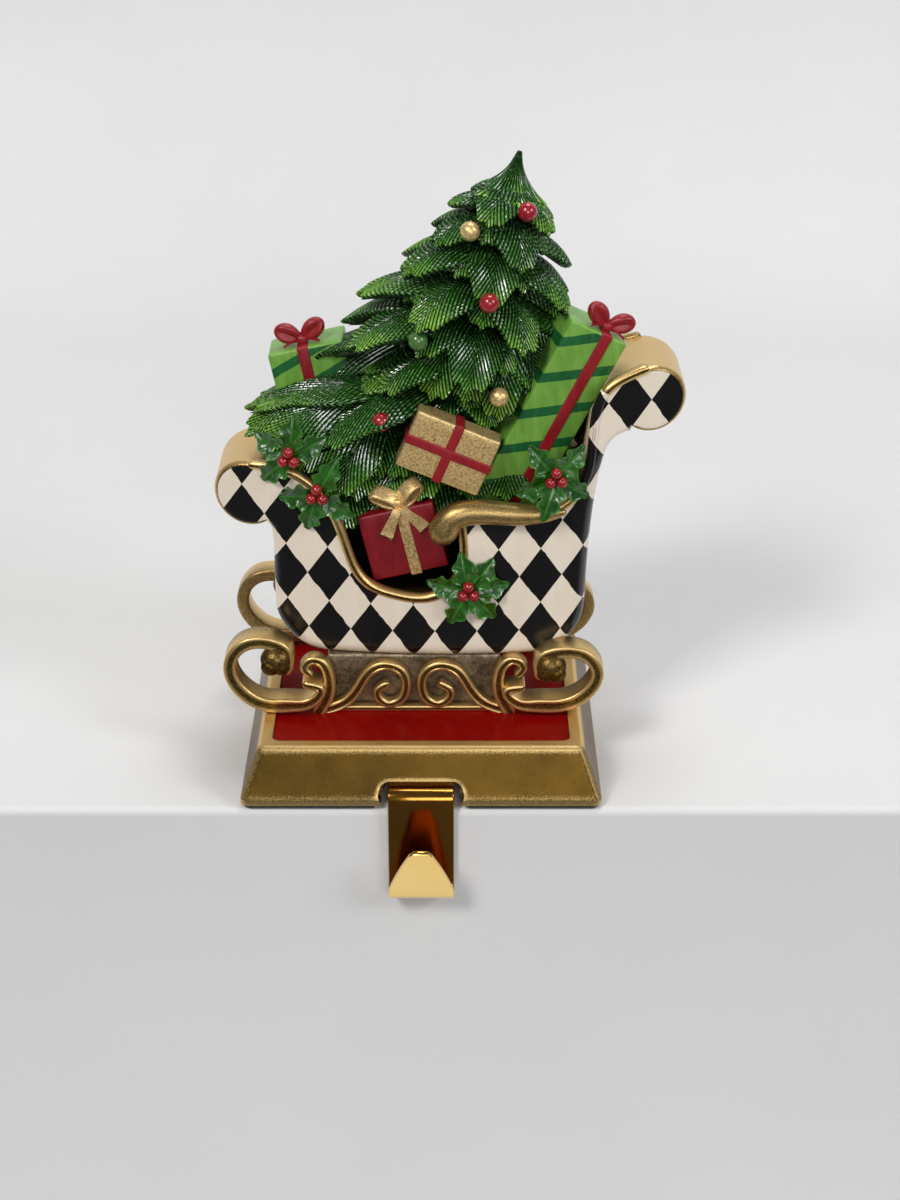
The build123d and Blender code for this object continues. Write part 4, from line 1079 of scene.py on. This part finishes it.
def ribbon_tail(heap, line, across, normal, widths):
    """A flat tail of ribbon that follows places in space and ends in a notch."""
    thick = 0.9
    rows = []
    notch = unit(line[-1] - line[-2]) * widths[-1] * 0.5
    for i, place in enumerate(line):
        for a, b in ((-1, 0), (0, 0), (1, 0), (1, 1), (0, 1), (-1, 1)):
            back = notch if i == len(line) - 1 and a == 0 else 0.0
            rows.append(place + across * a * widths[i] / 2 + normal * b * thick - back)
    last = len(rows) - 6
    faces = grid_faces(len(line), 6, closed=True) + [[0, 1, 4, 5], [1, 2, 3, 4]]
    faces += [[last + 5, last + 4, last + 1, last], [last + 4, last + 3, last + 2, last + 1]]
    heap.add(np.array(rows), faces, 1, wear=0.5)


def bow(heap, middle, axes, size, shift, forward, span, width, padded):
    """Two loops and a knot on the top of a box. The loops are padded, or open turns of ribbon."""
    right, back, up = axes
    top = middle + right * shift - back * forward + up * size[2] / 2
    knot = top + up * span * 0.09
    turn = radians(32 if padded else 38)
    tip = radians(42)
    for hand in (-1, 1):
        run = hand * cos(turn) * right + sin(turn) * up
        rise = cos(turn) * up - hand * sin(turn) * right
        if padded:
            plump_loop(heap, knot, run, rise, -back, span * 0.54, span * 0.19, width * 0.8)
            t = np.linspace(0, 1, 8)[:, None]
            line = knot - back * 2.2 * t + right * hand * 6.0 * t - up * 1.2 * t**2
            ribbon_tail(heap, line, unit(right * hand * 0.3 - back), up, np.linspace(2.4, 3.6, 8))
        else:
            across = -cos(tip) * back - sin(tip) * rise
            over = cos(tip) * rise - sin(tip) * back
            centre = top + run * span * 0.26 + up * span * 0.06
            open_loop(heap, centre, run, over, across, span * 0.24, span * 0.12, width + 1.0)
    soft_box(heap, axes, knot, (span * 0.2, width + 0.8, span * 0.18), 1.4, 1, 4, 0.3)


def holly(heap, centre, x_axis, outward, turn, length, width):
    """One spiny leaf, folded along its rib and turned up at the edges."""
    run = cos(turn) * x_axis + sin(turn) * np.cross(outward, x_axis)
    across = np.cross(outward, run)
    rows, columns = 31, 13
    u = np.linspace(0, 1, rows)[:, None]
    v = np.linspace(-1, 1, columns)[None, :]
    body = np.sin(pi * u**0.8) ** 0.75
    spines = np.abs(np.cos(3.0 * pi * u)) ** 1.5
    half = 0.5 * width * (0.12 * (1 - u) + body * (0.62 + 0.38 * spines))
    vein = np.abs(np.sin(5.5 * pi * (u - 0.28 * np.abs(v))))
    height = 1.5 * np.abs(v) ** 1.4 * body + 0.55 * vein * np.abs(v) + 0.9 * np.sin(pi * u) - 1.7 * u**2
    top = centre + (u * length)[..., None] * run + (v * half)[..., None] * across
    top = top + height[..., None] * outward
    places = np.concatenate([top, top - 0.7 * outward]).reshape(-1, 3)
    rib = np.clip(1 - 6 * np.abs(v), 0, 1)
    groove = np.maximum(rib, 0.7 * np.clip(1 - 5 * vein, 0, 1))
    edge = np.clip(np.abs(v) * 4 - 3, 0, 1) * np.ones_like(u)
    masks = [np.concatenate([mask.ravel(), np.zeros(rows * columns)]) for mask in (groove, edge)]
    count = rows * columns
    faces = grid_faces(rows, columns)
    faces += [[i + count for i in face][::-1] for face in faces]
    for r in range(rows - 1):
        a, b = r * columns, (r + 1) * columns
        faces.append([a, a + count, b + count, b])
        a, b = a + columns - 1, b + columns - 1
        faces.append([b, b + count, a + count, a])
    for c in range(columns - 1):
        faces.append([c + 1, c + 1 + count, c + count, c])
        a = (rows - 1) * columns + c
        faces.append([a, a + count, a + 1 + count, a + 1])
    heap.add(places, faces, 0, groove=masks[0], tip=masks[1])


def on_tree(across, depth, down):
    """A place on the tree: across to the right, back in depth and down along the leaning trunk."""
    run = across * cos(TREE_LEAN) - down * sin(TREE_LEAN)
    fall = across * sin(TREE_LEAN) + down * cos(TREE_LEAN)
    return APEX + np.array([run, depth, -fall])


def tier_size(tier):
    """How far down the trunk a tier's tips lie, how far they reach and its depth for its width."""
    down = 14.0 + 10.0 * tier + 0.6 * tier**2
    return down, 13.0 + 0.6 * (down - 14.0), 1 - 0.58 * tier / (TIERS - 1)


def tier_spot(tier, angle, share):
    """A place on a tier, as a share of the way out to its tips."""
    down, reach, flat = tier_size(tier)
    across = share * cos(angle) * (reach if cos(angle) < 0 else min(reach, TREE_RIGHT_REACH))
    return across, share * sin(angle) * reach * flat, down


def hits_gift(place):
    """Whether a place lies in or before one of the gifts that lean on the tree."""
    for name, inside, fall in (("gift_tall", -6.0, 0.0), ("gift_gold", 7.0, 0.0), ("gift_small", 0.0, 0.47)):
        spot, size = GIFTS[name]
        middle, axes = gift_axes(*spot)
        x, y, z = axes @ (place - middle)
        z -= fall * max(0.0, -size[1] / 2 - y)
        if abs(x) < size[0] / 2 + 2.0 and abs(z) < size[2] / 2 + 2.0 and y < inside:
            return True
    return False


def spray(heap, root, tip, up, width, thickness, chance):
    """A feathered bough: a blunt lobed fan, arched along its length, with needles off a middle rib."""
    along = tip - root
    length = np.linalg.norm(along)
    along = along / length
    side = unit(np.cross(up, along))
    lift = np.cross(along, side)
    steps = int(np.clip(length / 0.8, 16, 48))
    columns = 2 * int(np.clip(width / 1.25, 8, 19)) + 1
    u = np.linspace(0, 1, steps)[:, None]
    v = np.linspace(-1, 1, columns)[None, :]
    out = np.abs(v + chance.uniform(-0.1, 0.1) * (1 - v**2))
    reach = np.sqrt(1 - 0.8 * np.abs(v) ** 2.3) * (0.965 + 0.035 * np.cos(2 * pi * out / 0.5))
    far = u * reach
    half = 0.5 * width * (0.24 + 0.76 * np.sin(np.minimum(1, far / 0.5) * pi / 2))
    needles = (far * length - 2.3 * half * np.abs(v) ** 0.85) / 3.1
    ridge = np.abs(np.sin(pi * needles))
    body = (0.5 + 0.5 * np.minimum(1, far / 0.45)) * (1 - 0.55 * np.clip((far - 0.55) / 0.45, 0, 1) ** 2)
    height = thickness * body * (1 - 0.85 * v**2) + 0.08 * length * np.sin(pi * far)
    height += 0.6 * ridge * np.minimum(1, far / 0.25)
    top = root + (far * length)[..., None] * along + (v * half)[..., None] * side + height[..., None] * lift
    lip = top[-1] - 1.0 * lift - 0.02 * length * along
    middle = columns // 2
    spine = top[:, middle] - (0.8 + thickness * body[:, middle])[:, None] * lift
    spine[-1] -= 0.12 * length * along
    count = (steps + 1) * columns
    faces = grid_faces(steps + 1, columns)
    for r in range(steps - 1):
        left, right = r * columns, r * columns + columns - 1
        faces.append([left, left + columns, count + r + 1, count + r])
        faces.append([right + columns, right, count + r, count + r + 1])
    last = steps * columns
    for c in range(columns - 1):
        faces.append([last + c, last + c + 1, count + steps - 1])
        faces.append([c + 1, c, count])
    faces.append([last - columns, last, count + steps - 1])
    faces.append([last + columns - 1, last - 1, count + steps - 1])
    groove = np.concatenate([(0.35 + 0.65 * ridge).ravel(), np.full(columns, 0.6), np.full(steps, 0.45)])
    # Painted light along the bough: highest at its end for the painted highlight, nought at the root and on
    # the underside spine for painted shade.
    tip_light = (far**1.2 * (0.85 + 0.2 * np.abs(v))).ravel() * chance.uniform(0.65, 1.05)
    tip_light = np.concatenate([tip_light, np.full(columns, 0.5), np.zeros(steps)])
    phase = np.concatenate([needles.ravel(), needles[-1], needles[:, 0] - 0.6])
    uv = np.stack([phase, np.ones_like(phase)], 1)
    heap.add(np.concatenate([top.reshape(-1, 3), lip, spine]), faces, 0, uv=uv, groove=groove, tip=tip_light)


def spire(heap):
    """The grooved bell at the top of the tree. Its five lobes are the boughs of the first tier."""
    rows, columns, ridges = 26, 150, 36
    u = np.linspace(0, 1, rows)[:, None]
    t = np.linspace(0, 2 * pi, columns, endpoint=False)[None, :]
    lobe = (0.5 + 0.5 * np.cos(5 * t)) ** 1.3
    ridge = np.abs(np.sin(ridges * t / 2))
    radius = 0.8 + 2.4 * u**0.8 + (5.4 + 4.6 * lobe) * u**2.4 + 0.35 * ridge * u
    down = (14.0 + 1.8 * lobe) * u
    run = radius * np.cos(t) * cos(TREE_LEAN) - down * sin(TREE_LEAN)
    fall = radius * np.cos(t) * sin(TREE_LEAN) + down * cos(TREE_LEAN)
    top = APEX + np.stack([run, radius * np.sin(t), -fall], -1)
    verts = np.concatenate([top.reshape(-1, 3), [APEX], [on_tree(0, 0, 10.0)]])
    faces = grid_faces(rows, columns, closed=True)
    for c in range(columns):
        d = (c + 1) % columns
        faces.append([c, d, rows * columns])
        faces.append([(rows - 1) * columns + d, (rows - 1) * columns + c, rows * columns + 1])
    every = np.ones_like(u)
    groove = np.concatenate([(0.45 + 0.55 * ridge * every).ravel(), [0.6, 0.0]])
    # The painted highlight of the bough tips falls on the lobes of the hem; the green is darker up towards
    # the apex.
    tips = np.concatenate([(0.25 + 0.7 * u**2 * (0.4 + 0.6 * lobe)).ravel(), [0.4, 0.0]])
    phase = np.concatenate([(ridges * t / (2 * pi) * every).ravel(), [0.0, 0.0]])
    heap.add(verts, faces, 0, uv=np.stack([phase, np.zeros_like(phase)], 1), groove=groove, tip=tips)


def tree_core(heap, share):
    """A body inside the boughs, from the top of the tree to its last tier, painted near-black as the shade
    between the tiers.
    """
    sides = 20
    rows = []
    for tier in range(TIERS):
        for k in range(sides):
            across, depth, down = tier_spot(tier, 2 * pi * (k + 0.5) / sides, share)
            rows.append(on_tree(across, depth, down - 4.0))
    faces = grid_faces(TIERS, sides, closed=True)
    faces += [[k, (k + 1) % sides, TIERS * sides] for k in range(sides)]
    faces.append([(TIERS - 1) * sides + k for k in range(sides)])
    # A low groove mask paints the core near-black, as painted shade inside the tree.
    heap.add(rows + [on_tree(0, 0, 3.0)], faces, 0, uv=np.full((len(rows) + 1, 2), 0.5), groove=0.15)


def tier_boughs(heap, tier, chance):
    """The boughs of one tier, with shorter ones between them. Those that would cover a gift are cut back."""
    count = 5 + tier // 3
    for k in range(2 * count):
        angle = pi * (k + tier % 2) / count
        lift, share = (5.0, 0.72) if k % 2 else (0.0, 1.0)
        across, depth, down = tier_spot(tier, angle, share)
        while share > 0.3 and hits_gift(on_tree(across, depth, down - lift)):
            share -= 0.07
            across, depth, down = tier_spot(tier, angle, share)
        down -= lift
        radial = sqrt(across**2 + depth**2)
        rise = 0.88 * radial * tan(radians(20.0 + 16.0 * abs(sin(angle))))
        tip = on_tree(across, depth, down)
        root = on_tree(0.12 * across, 0.12 * depth, down - rise)
        thickness = 4.2 * min(1, 0.3 + radial / 64)
        spray(heap, root, tip, TRUNK_UP, 8.5 + 0.42 * radial, thickness, chance)


def tree_heart(heap, chance):
    """The core of the tree, the mound it stands on and the sprays that fill the space round them."""
    tree_core(heap, 0.38)
    top_z = TUB_Z + TUB_FLOOR + TREE_HEIGHT - tier_size(TIERS - 1)[0]
    mound = (top_z - TUB_Z - TUB_FLOOR) - 8.0
    # The mound has no groove mask, so the fir finish paints it the near-black of painted shade.
    soft_box(heap, np.eye(3), (SLEIGH_X, SLEIGH_Y, TUB_Z + TUB_FLOOR + mound / 2), (52.0, 20.0, mound), 5.0)
    for lift, left, right, count in HEART_ROWS:
        for k in range(count):
            x = left + (right - left) * k / (count - 1) + chance.uniform(-2, 2)
            reach = min(20.0, SLEIGH_Y - float(side_y(x - SLEIGH_X)) - 5.0)
            for hand in (-1, 1):
                root = np.array([x + 4.0, SLEIGH_Y + hand, top_z + 3.0 + lift])
                tip = np.array([x + chance.uniform(-4, 4), SLEIGH_Y + hand * reach, top_z - 13.0 + lift])
                spray(heap, root, tip, (0.0, 0.0, 1.0), 19.0, 3.0, chance)
    for root, tip in FILL_BOUGHS:
        spray(heap, np.array(root), np.array(tip), (0.0, -0.5, 0.9), 19.0, 3.2, chance)


# Settings, operators and panel


def colour_setting(name, description, default):
    """A colour that a user can change."""
    return FloatVectorProperty(name=name, description=description, subtype="COLOR", size=3, default=default)


def length_setting(name, description, default):
    """A length that a user can change."""
    return FloatProperty(
        name=name, description=description, subtype="DISTANCE", unit="LENGTH", default=default
    )


class HolderLook(bpy.types.PropertyGroup):
    """Colours and sizes of the finishes."""

    gold_wash: colour_setting("Gold wash", "Dark tone in the hollows of the gold", (0.075, 0.041, 0.006))
    gold_face: colour_setting("Gold face", "Main tone of the gold", (0.150, 0.085, 0.011))
    gold_edge: colour_setting("Gold edge", "Tone of the rubbed edges", (0.80, 0.56, 0.23))
    # The fir shade green is painted shade inside the tree and under the boughs; the fir tips green is a
    # painted highlight on the bough ends.
    fir_shade: colour_setting("Fir shade", "Green inside the tree", (0.010, 0.075, 0.006))
    fir_light: colour_setting("Fir green", "Green of the boughs", (0.045, 0.250, 0.010))
    fir_tip_highlight: colour_setting("Fir tips", "Green of the youngest needles", (0.300, 0.640, 0.045))
    diamond_width: length_setting("Diamond width", "Width of one painted diamond", 0.015)
    diamond_height: length_setting("Diamond height", "Height of one painted diamond", 0.021)
    seed: IntProperty(
        name="Bough seed", description="Start of the chance that varies the boughs", default=7, min=0
    )


class HOLDER_OT_base(bpy.types.Operator):
    """Makes the bevelled base casting, its enamel field and the felt pad under it"""

    bl_idname = "stocking_holder.base"
    bl_label = "Base"

    def execute(self, context):
        slices = (
            (2, (2.6, 4.4, 6.2, 8.0, 9.2, 10.6, 12.0, 15.0, 17.6, 19.0, 20.2)),
            (0, (-58, -50, -30, -20, -18, -16.6, -15, -12, -8, 0, 8, 12, 15, 16.6, 18, 20, 30, 50, 58)),
            (1, (-55, -52, -40, -20, 0, 20, 40, 52)),
        )
        heap = Heap()
        softened(heap, "base_casting", 1.1, slices, base_wear)
        heap.piece("base", ["antique gold"], ["base_casting"], 50)
        heap = Heap()
        enamel_field(heap)
        heap.piece("field", ["red enamel"], ["field_enamel"])
        heap = Heap()
        softened(heap, "felt_pad", 0.4)
        heap.piece("pad", ["felt"], ["felt_pad"])
        return {"FINISHED"}


class HOLDER_OT_hook(bpy.types.Operator):
    """Makes the bent strip hook and the two screws that hold it"""

    bl_idname = "stocking_holder.hook"
    bl_label = "Hook"

    def execute(self, context):
        heap = Heap()
        hook_strip(heap)
        heap.piece("hook_strip", ["polished brass"], ["hook"], 50)
        heap = Heap()
        softened(heap, "hook_screws", 0.22)
        heap.piece("screws", ["plated steel"], ["hook_screws"])
        return {"FINISHED"}


class HOLDER_OT_runners(bpy.types.Operator):
    """Makes the pedestal and the scrollwork runners on both sides of it"""

    bl_idname = "stocking_holder.runners"
    bl_label = "Runners"

    def execute(self, context):
        for name, mirror in (("runner_near", None), ("runner_far", SLEIGH_Y)):
            heap = Heap()
            runner(heap, mirror)
            heap.piece(name + "_scrolls", ["antique gold"], [name])
        heap = Heap()
        soft_box(heap, np.eye(3), (SLEIGH_X, SLEIGH_Y, FIELD_Z + PEDESTAL[2] / 2), PEDESTAL, 1.2, 0, 10, 0.8)
        heap.piece("pedestal_block", ["mottled bronze"], ["pedestal"])
        return {"FINISHED"}


class HOLDER_OT_tub(bpy.types.Operator):
    """Makes the painted sleigh tub with its gold rim, lining and arm scrolls"""

    bl_idname = "stocking_holder.tub"
    bl_label = "Sleigh tub"

    def execute(self, context):
        heap = Heap()
        tub_body(heap)
        tub_lining(heap)
        tub_trim(heap)
        heap.piece("tub", ["diamond enamel", "antique gold"], ["sleigh_tub"], 50)
        return {"FINISHED"}


class HOLDER_OT_gifts(bpy.types.Operator):
    """Makes the wrapped gifts with their ribbons and bows"""

    bl_idname = "stocking_holder.gifts"
    bl_label = "Gifts"

    def execute(self, context):
        striped = (("gift_tall", "tall paper", 3.0, 4.0), ("gift_small", "small paper", -1.0, 3.0))
        for name, paper, shift, forward in striped:
            spot, size = GIFTS[name]
            middle, axes = gift_axes(*spot)
            heap = Heap()
            gift(heap, middle, axes, size, 4.0, shift)
            bow(heap, middle, axes, size, shift, forward, 19.0, 4.0, True)
            height = (np.array(heap.verts) - middle) @ axes[2]
            heap.layers["striped"] = (np.abs(height) < size[2] / 2 - 0.5).astype(float).tolist()
            heap.piece(name + "_box", [paper, "crimson ribbon"], [name])
        spot, size = GIFTS["gift_red"]
        middle, axes = gift_axes(*spot)
        right, back, up = axes
        heap = Heap()
        gift(heap, middle, axes, size, 4.0, 2.0)
        bow(heap, middle, axes, size, 2.0, 5.5, 21.0, 4.6, False)
        knot = middle + right * 2.0 - back * 7.6 + up * 13.0
        t = np.linspace(0, 1, 14)[:, None]
        for hand in (-1, 1):
            line = knot + right * hand * (1.0 + 6.4 * t) - up * (9.8 * t)
            line = line - back * (0.5 + 0.5 * np.sin(6 * t))
            ribbon_tail(heap, line, right * 0.84 + up * 0.54 * hand, -back, np.linspace(2.6, 4.8, 14))
        heap.piece("gift_red_box", ["red paper", "gold leaf"], ["gift_red"])
        spot, size = GIFTS["gift_gold"]
        heap = Heap()
        gift(heap, *gift_axes(*spot), size, 3.4, 0.0, True)
        heap.piece("gift_gold_box", ["gold leaf", "crimson ribbon"], ["gift_gold"])
        return {"FINISHED"}


class HOLDER_OT_holly(bpy.types.Operator):
    """Makes the holly sprigs with their berries"""

    bl_idname = "stocking_holder.holly"
    bl_label = "Holly"

    def execute(self, context):
        for name, (x, z, turns) in SPRIGS.items():
            heap = Heap()
            step = x - TUB_PLAN_X
            outward = np.array([step, -sqrt(PLAN_RADIUS**2 - step**2), 0.0]) / PLAN_RADIUS
            x_axis = np.array([-outward[1], outward[0], 0.0])
            up = np.cross(outward, x_axis)
            centre = np.array([SLEIGH_X + x, float(side_y(x)), TUB_Z + z]) + outward * 1.2
            for k, turn in enumerate(np.radians(turns)):
                root = centre + cos(turn) * x_axis + sin(turn) * up + outward * (0.25 * (k % 3))
                holly(heap, root, x_axis, outward, turn, 14.0, 9.4)
            if name == "holly_right":
                holly(heap, centre + outward, x_axis, unit(outward + 0.3 * up), radians(252), 16.0, 9.8)
            for turn in np.radians((90, 210, 330)):
                berry = centre + 2.3 * (cos(turn) * x_axis + sin(turn) * up) + outward * 2.6
                ball(heap, berry, 2.0, 1, rows=10, columns=14)
            heap.piece(name + "_sprig", ["holly leaf", "berry red"], [name], 60)
        return {"FINISHED"}


class HOLDER_OT_tree(bpy.types.Operator):
    """Makes the fir tree of grooved sprays with its painted balls"""

    bl_idname = "stocking_holder.tree"
    bl_label = "Fir tree"

    def execute(self, context):
        chance = np.random.default_rng(look().seed)
        heap = Heap()
        spire(heap)
        for tier in range(1, TIERS):
            tier_boughs(heap, tier, chance)
            if tier == 4:
                heap.piece("tree_top", ["fir needles"], ["fir_tree"], 70)
                heap = Heap()
        heap.piece("tree_boughs", ["fir needles"], ["fir_tree"], 70)
        heap = Heap()
        tree_heart(heap, chance)
        heap.piece("tree_heart", ["fir needles"], (), 70)
        heap = Heap()
        for x, y, z, pick in BALLS:
            centre = np.array([SLEIGH_X + x, y, TUB_Z + z])
            ball(heap, centre, BALL_RADIUS, pick, rows=18, columns=24, wear=0.4)
            trunk = on_tree(0, 0, float((APEX - centre) @ TRUNK_UP))
            # The stems take the fir finish without a groove mask, so they are painted the near-black of
            # painted shade.
            tube(heap, [centre, centre + unit(trunk - centre) * 6.0], 1.1, 10, 3)
        heap.piece("tree_balls", ["ball_red", "ball_green", "gold leaf", "fir needles"])
        return {"FINISHED"}


class HOLDER_OT_stage(bpy.types.Operator):
    """Makes the pale shelf, the lights and the camera"""

    bl_idname = "stocking_holder.stage"
    bl_label = "Stage"

    def execute(self, context):
        scene = context.scene
        scene.view_settings.view_transform = "Standard"
        shelf = bpy.data.objects.new("shelf", self.shelf_mesh())
        scene.collection.objects.link(shelf)
        scene.world = bpy.data.worlds.new("studio")
        scene.world.use_nodes = True
        net = Net(scene.world.node_tree)
        sky = net.blend(net.value("LightPath", "Is Camera Ray"), (0.13, 0.13, 0.132), (0.76, 0.76, 0.76))
        net.feed(net.tree.nodes["Background"].inputs["Color"], sky)
        aim = Vector((0.0, 0.0, 0.1))
        for name, place, size, power, tint in LAMPS:
            lamp = bpy.data.lights.new(name, "AREA")
            lamp.size = size
            lamp.energy = power
            lamp.color = tint
            obj = bpy.data.objects.new(name, lamp)
            obj.location = place
            obj.rotation_euler = (aim - Vector(place)).to_track_quat("-Z", "Y").to_euler()
            scene.collection.objects.link(obj)
        camera = bpy.data.cameras.new("camera")
        camera.lens = 67.5
        camera.clip_start = 0.05
        obj = bpy.data.objects.new("camera", camera)
        obj.location = (0.010174, -0.741864, 0.400699)
        obj.rotation_euler = (radians(65.0), 0.0, 0.0)
        scene.collection.objects.link(obj)
        scene.camera = obj
        return {"FINISHED"}

    def shelf_mesh(self):
        """A shelf with a rounded front edge and a backdrop that curves up behind it."""
        front, corner, low = -56.6, 3.0, -400.0
        back, sweep, half_length, high = 450.0, 200.0, 1500.0, 1600.0
        edge = np.radians(np.linspace(15, 90, 6))
        curve = np.radians(np.linspace(10, 90, 10))
        rows = [(front - 270.0, low), (front, low), (front, -corner)]
        rows += [(front + corner * (1 - cos(t)), -corner + corner * sin(t)) for t in edge]
        rows += [(back, 0.0)]
        rows += [(back + sweep * sin(t), sweep * (1 - cos(t))) for t in curve]
        rows += [(back + sweep, high)]
        verts = [(x * MM, y * MM, z * MM) for y, z in rows for x in (-half_length, half_length)]
        mesh = bpy.data.meshes.new("shelf")
        mesh.from_pydata(verts, [], grid_faces(len(rows), 2))
        mesh.materials.append(self.shelf_finish())
        mesh.polygons.foreach_set("use_smooth", np.ones(len(mesh.polygons), bool))
        return mesh

    def shelf_finish(self):
        """Pale paint that a camera behind the backdrop looks through."""
        pale = Finish("pale shelf", Roughness=0.6)
        tone, _ = pale.effect(patina, 6.0, 300.0, 0.1)
        pale.feed(pale.inputs["Base Color"], pale.blend(tone, (0.76, 0.76, 0.765), (0.79, 0.79, 0.79)))
        behind = pale.value("NewGeometry", "Backfacing") * pale.value("LightPath", "Is Camera Ray")
        paint = Wire(pale, pale.tree.nodes["Principled BSDF"].outputs["BSDF"])
        clear = pale.value("BsdfTransparent", "BSDF")
        join = pale.value("MixShader", "Shader", {"Fac": behind, 1: paint, 2: clear})
        pale.feed(pale.tree.nodes["Material Output"].inputs["Surface"], join)
        return pale.material


class HOLDER_PT_panel(bpy.types.Panel):
    """Buttons for the pieces, and their colours"""

    bl_idname = "HOLDER_PT_panel"
    bl_label = "Stocking Holder"
    bl_space_type = "VIEW_3D"
    bl_region_type = "UI"
    bl_category = "Holder"

    def draw(self, context):
        for made in OPERATORS:
            self.layout.operator(made.bl_idname)
        for key in HolderLook.__annotations__:
            self.layout.prop(context.scene.stocking_holder, key)


OPERATORS = (
    HOLDER_OT_stage,
    HOLDER_OT_base,
    HOLDER_OT_hook,
    HOLDER_OT_runners,
    HOLDER_OT_tub,
    HOLDER_OT_gifts,
    HOLDER_OT_holly,
    HOLDER_OT_tree,
)
CLASSES = (HolderLook, *OPERATORS, HOLDER_PT_panel)


def register():
    """Adds the classes and the settings to Blender."""
    for made in CLASSES:
        bpy.utils.register_class(made)
    bpy.types.Scene.stocking_holder = PointerProperty(type=HolderLook)


def unregister():
    """Takes them away again."""
    del bpy.types.Scene.stocking_holder
    for made in reversed(CLASSES):
        bpy.utils.unregister_class(made)


def main():
    """Builds every piece in order."""
    register()
    bpy.ops.stocking_holder.stage()
    bpy.ops.stocking_holder.base()
    bpy.ops.stocking_holder.hook()
    bpy.ops.stocking_holder.runners()
    bpy.ops.stocking_holder.tub()
    bpy.ops.stocking_holder.gifts()
    bpy.ops.stocking_holder.holly()
    bpy.ops.stocking_holder.tree()


if __name__ == "__main__":
    main()
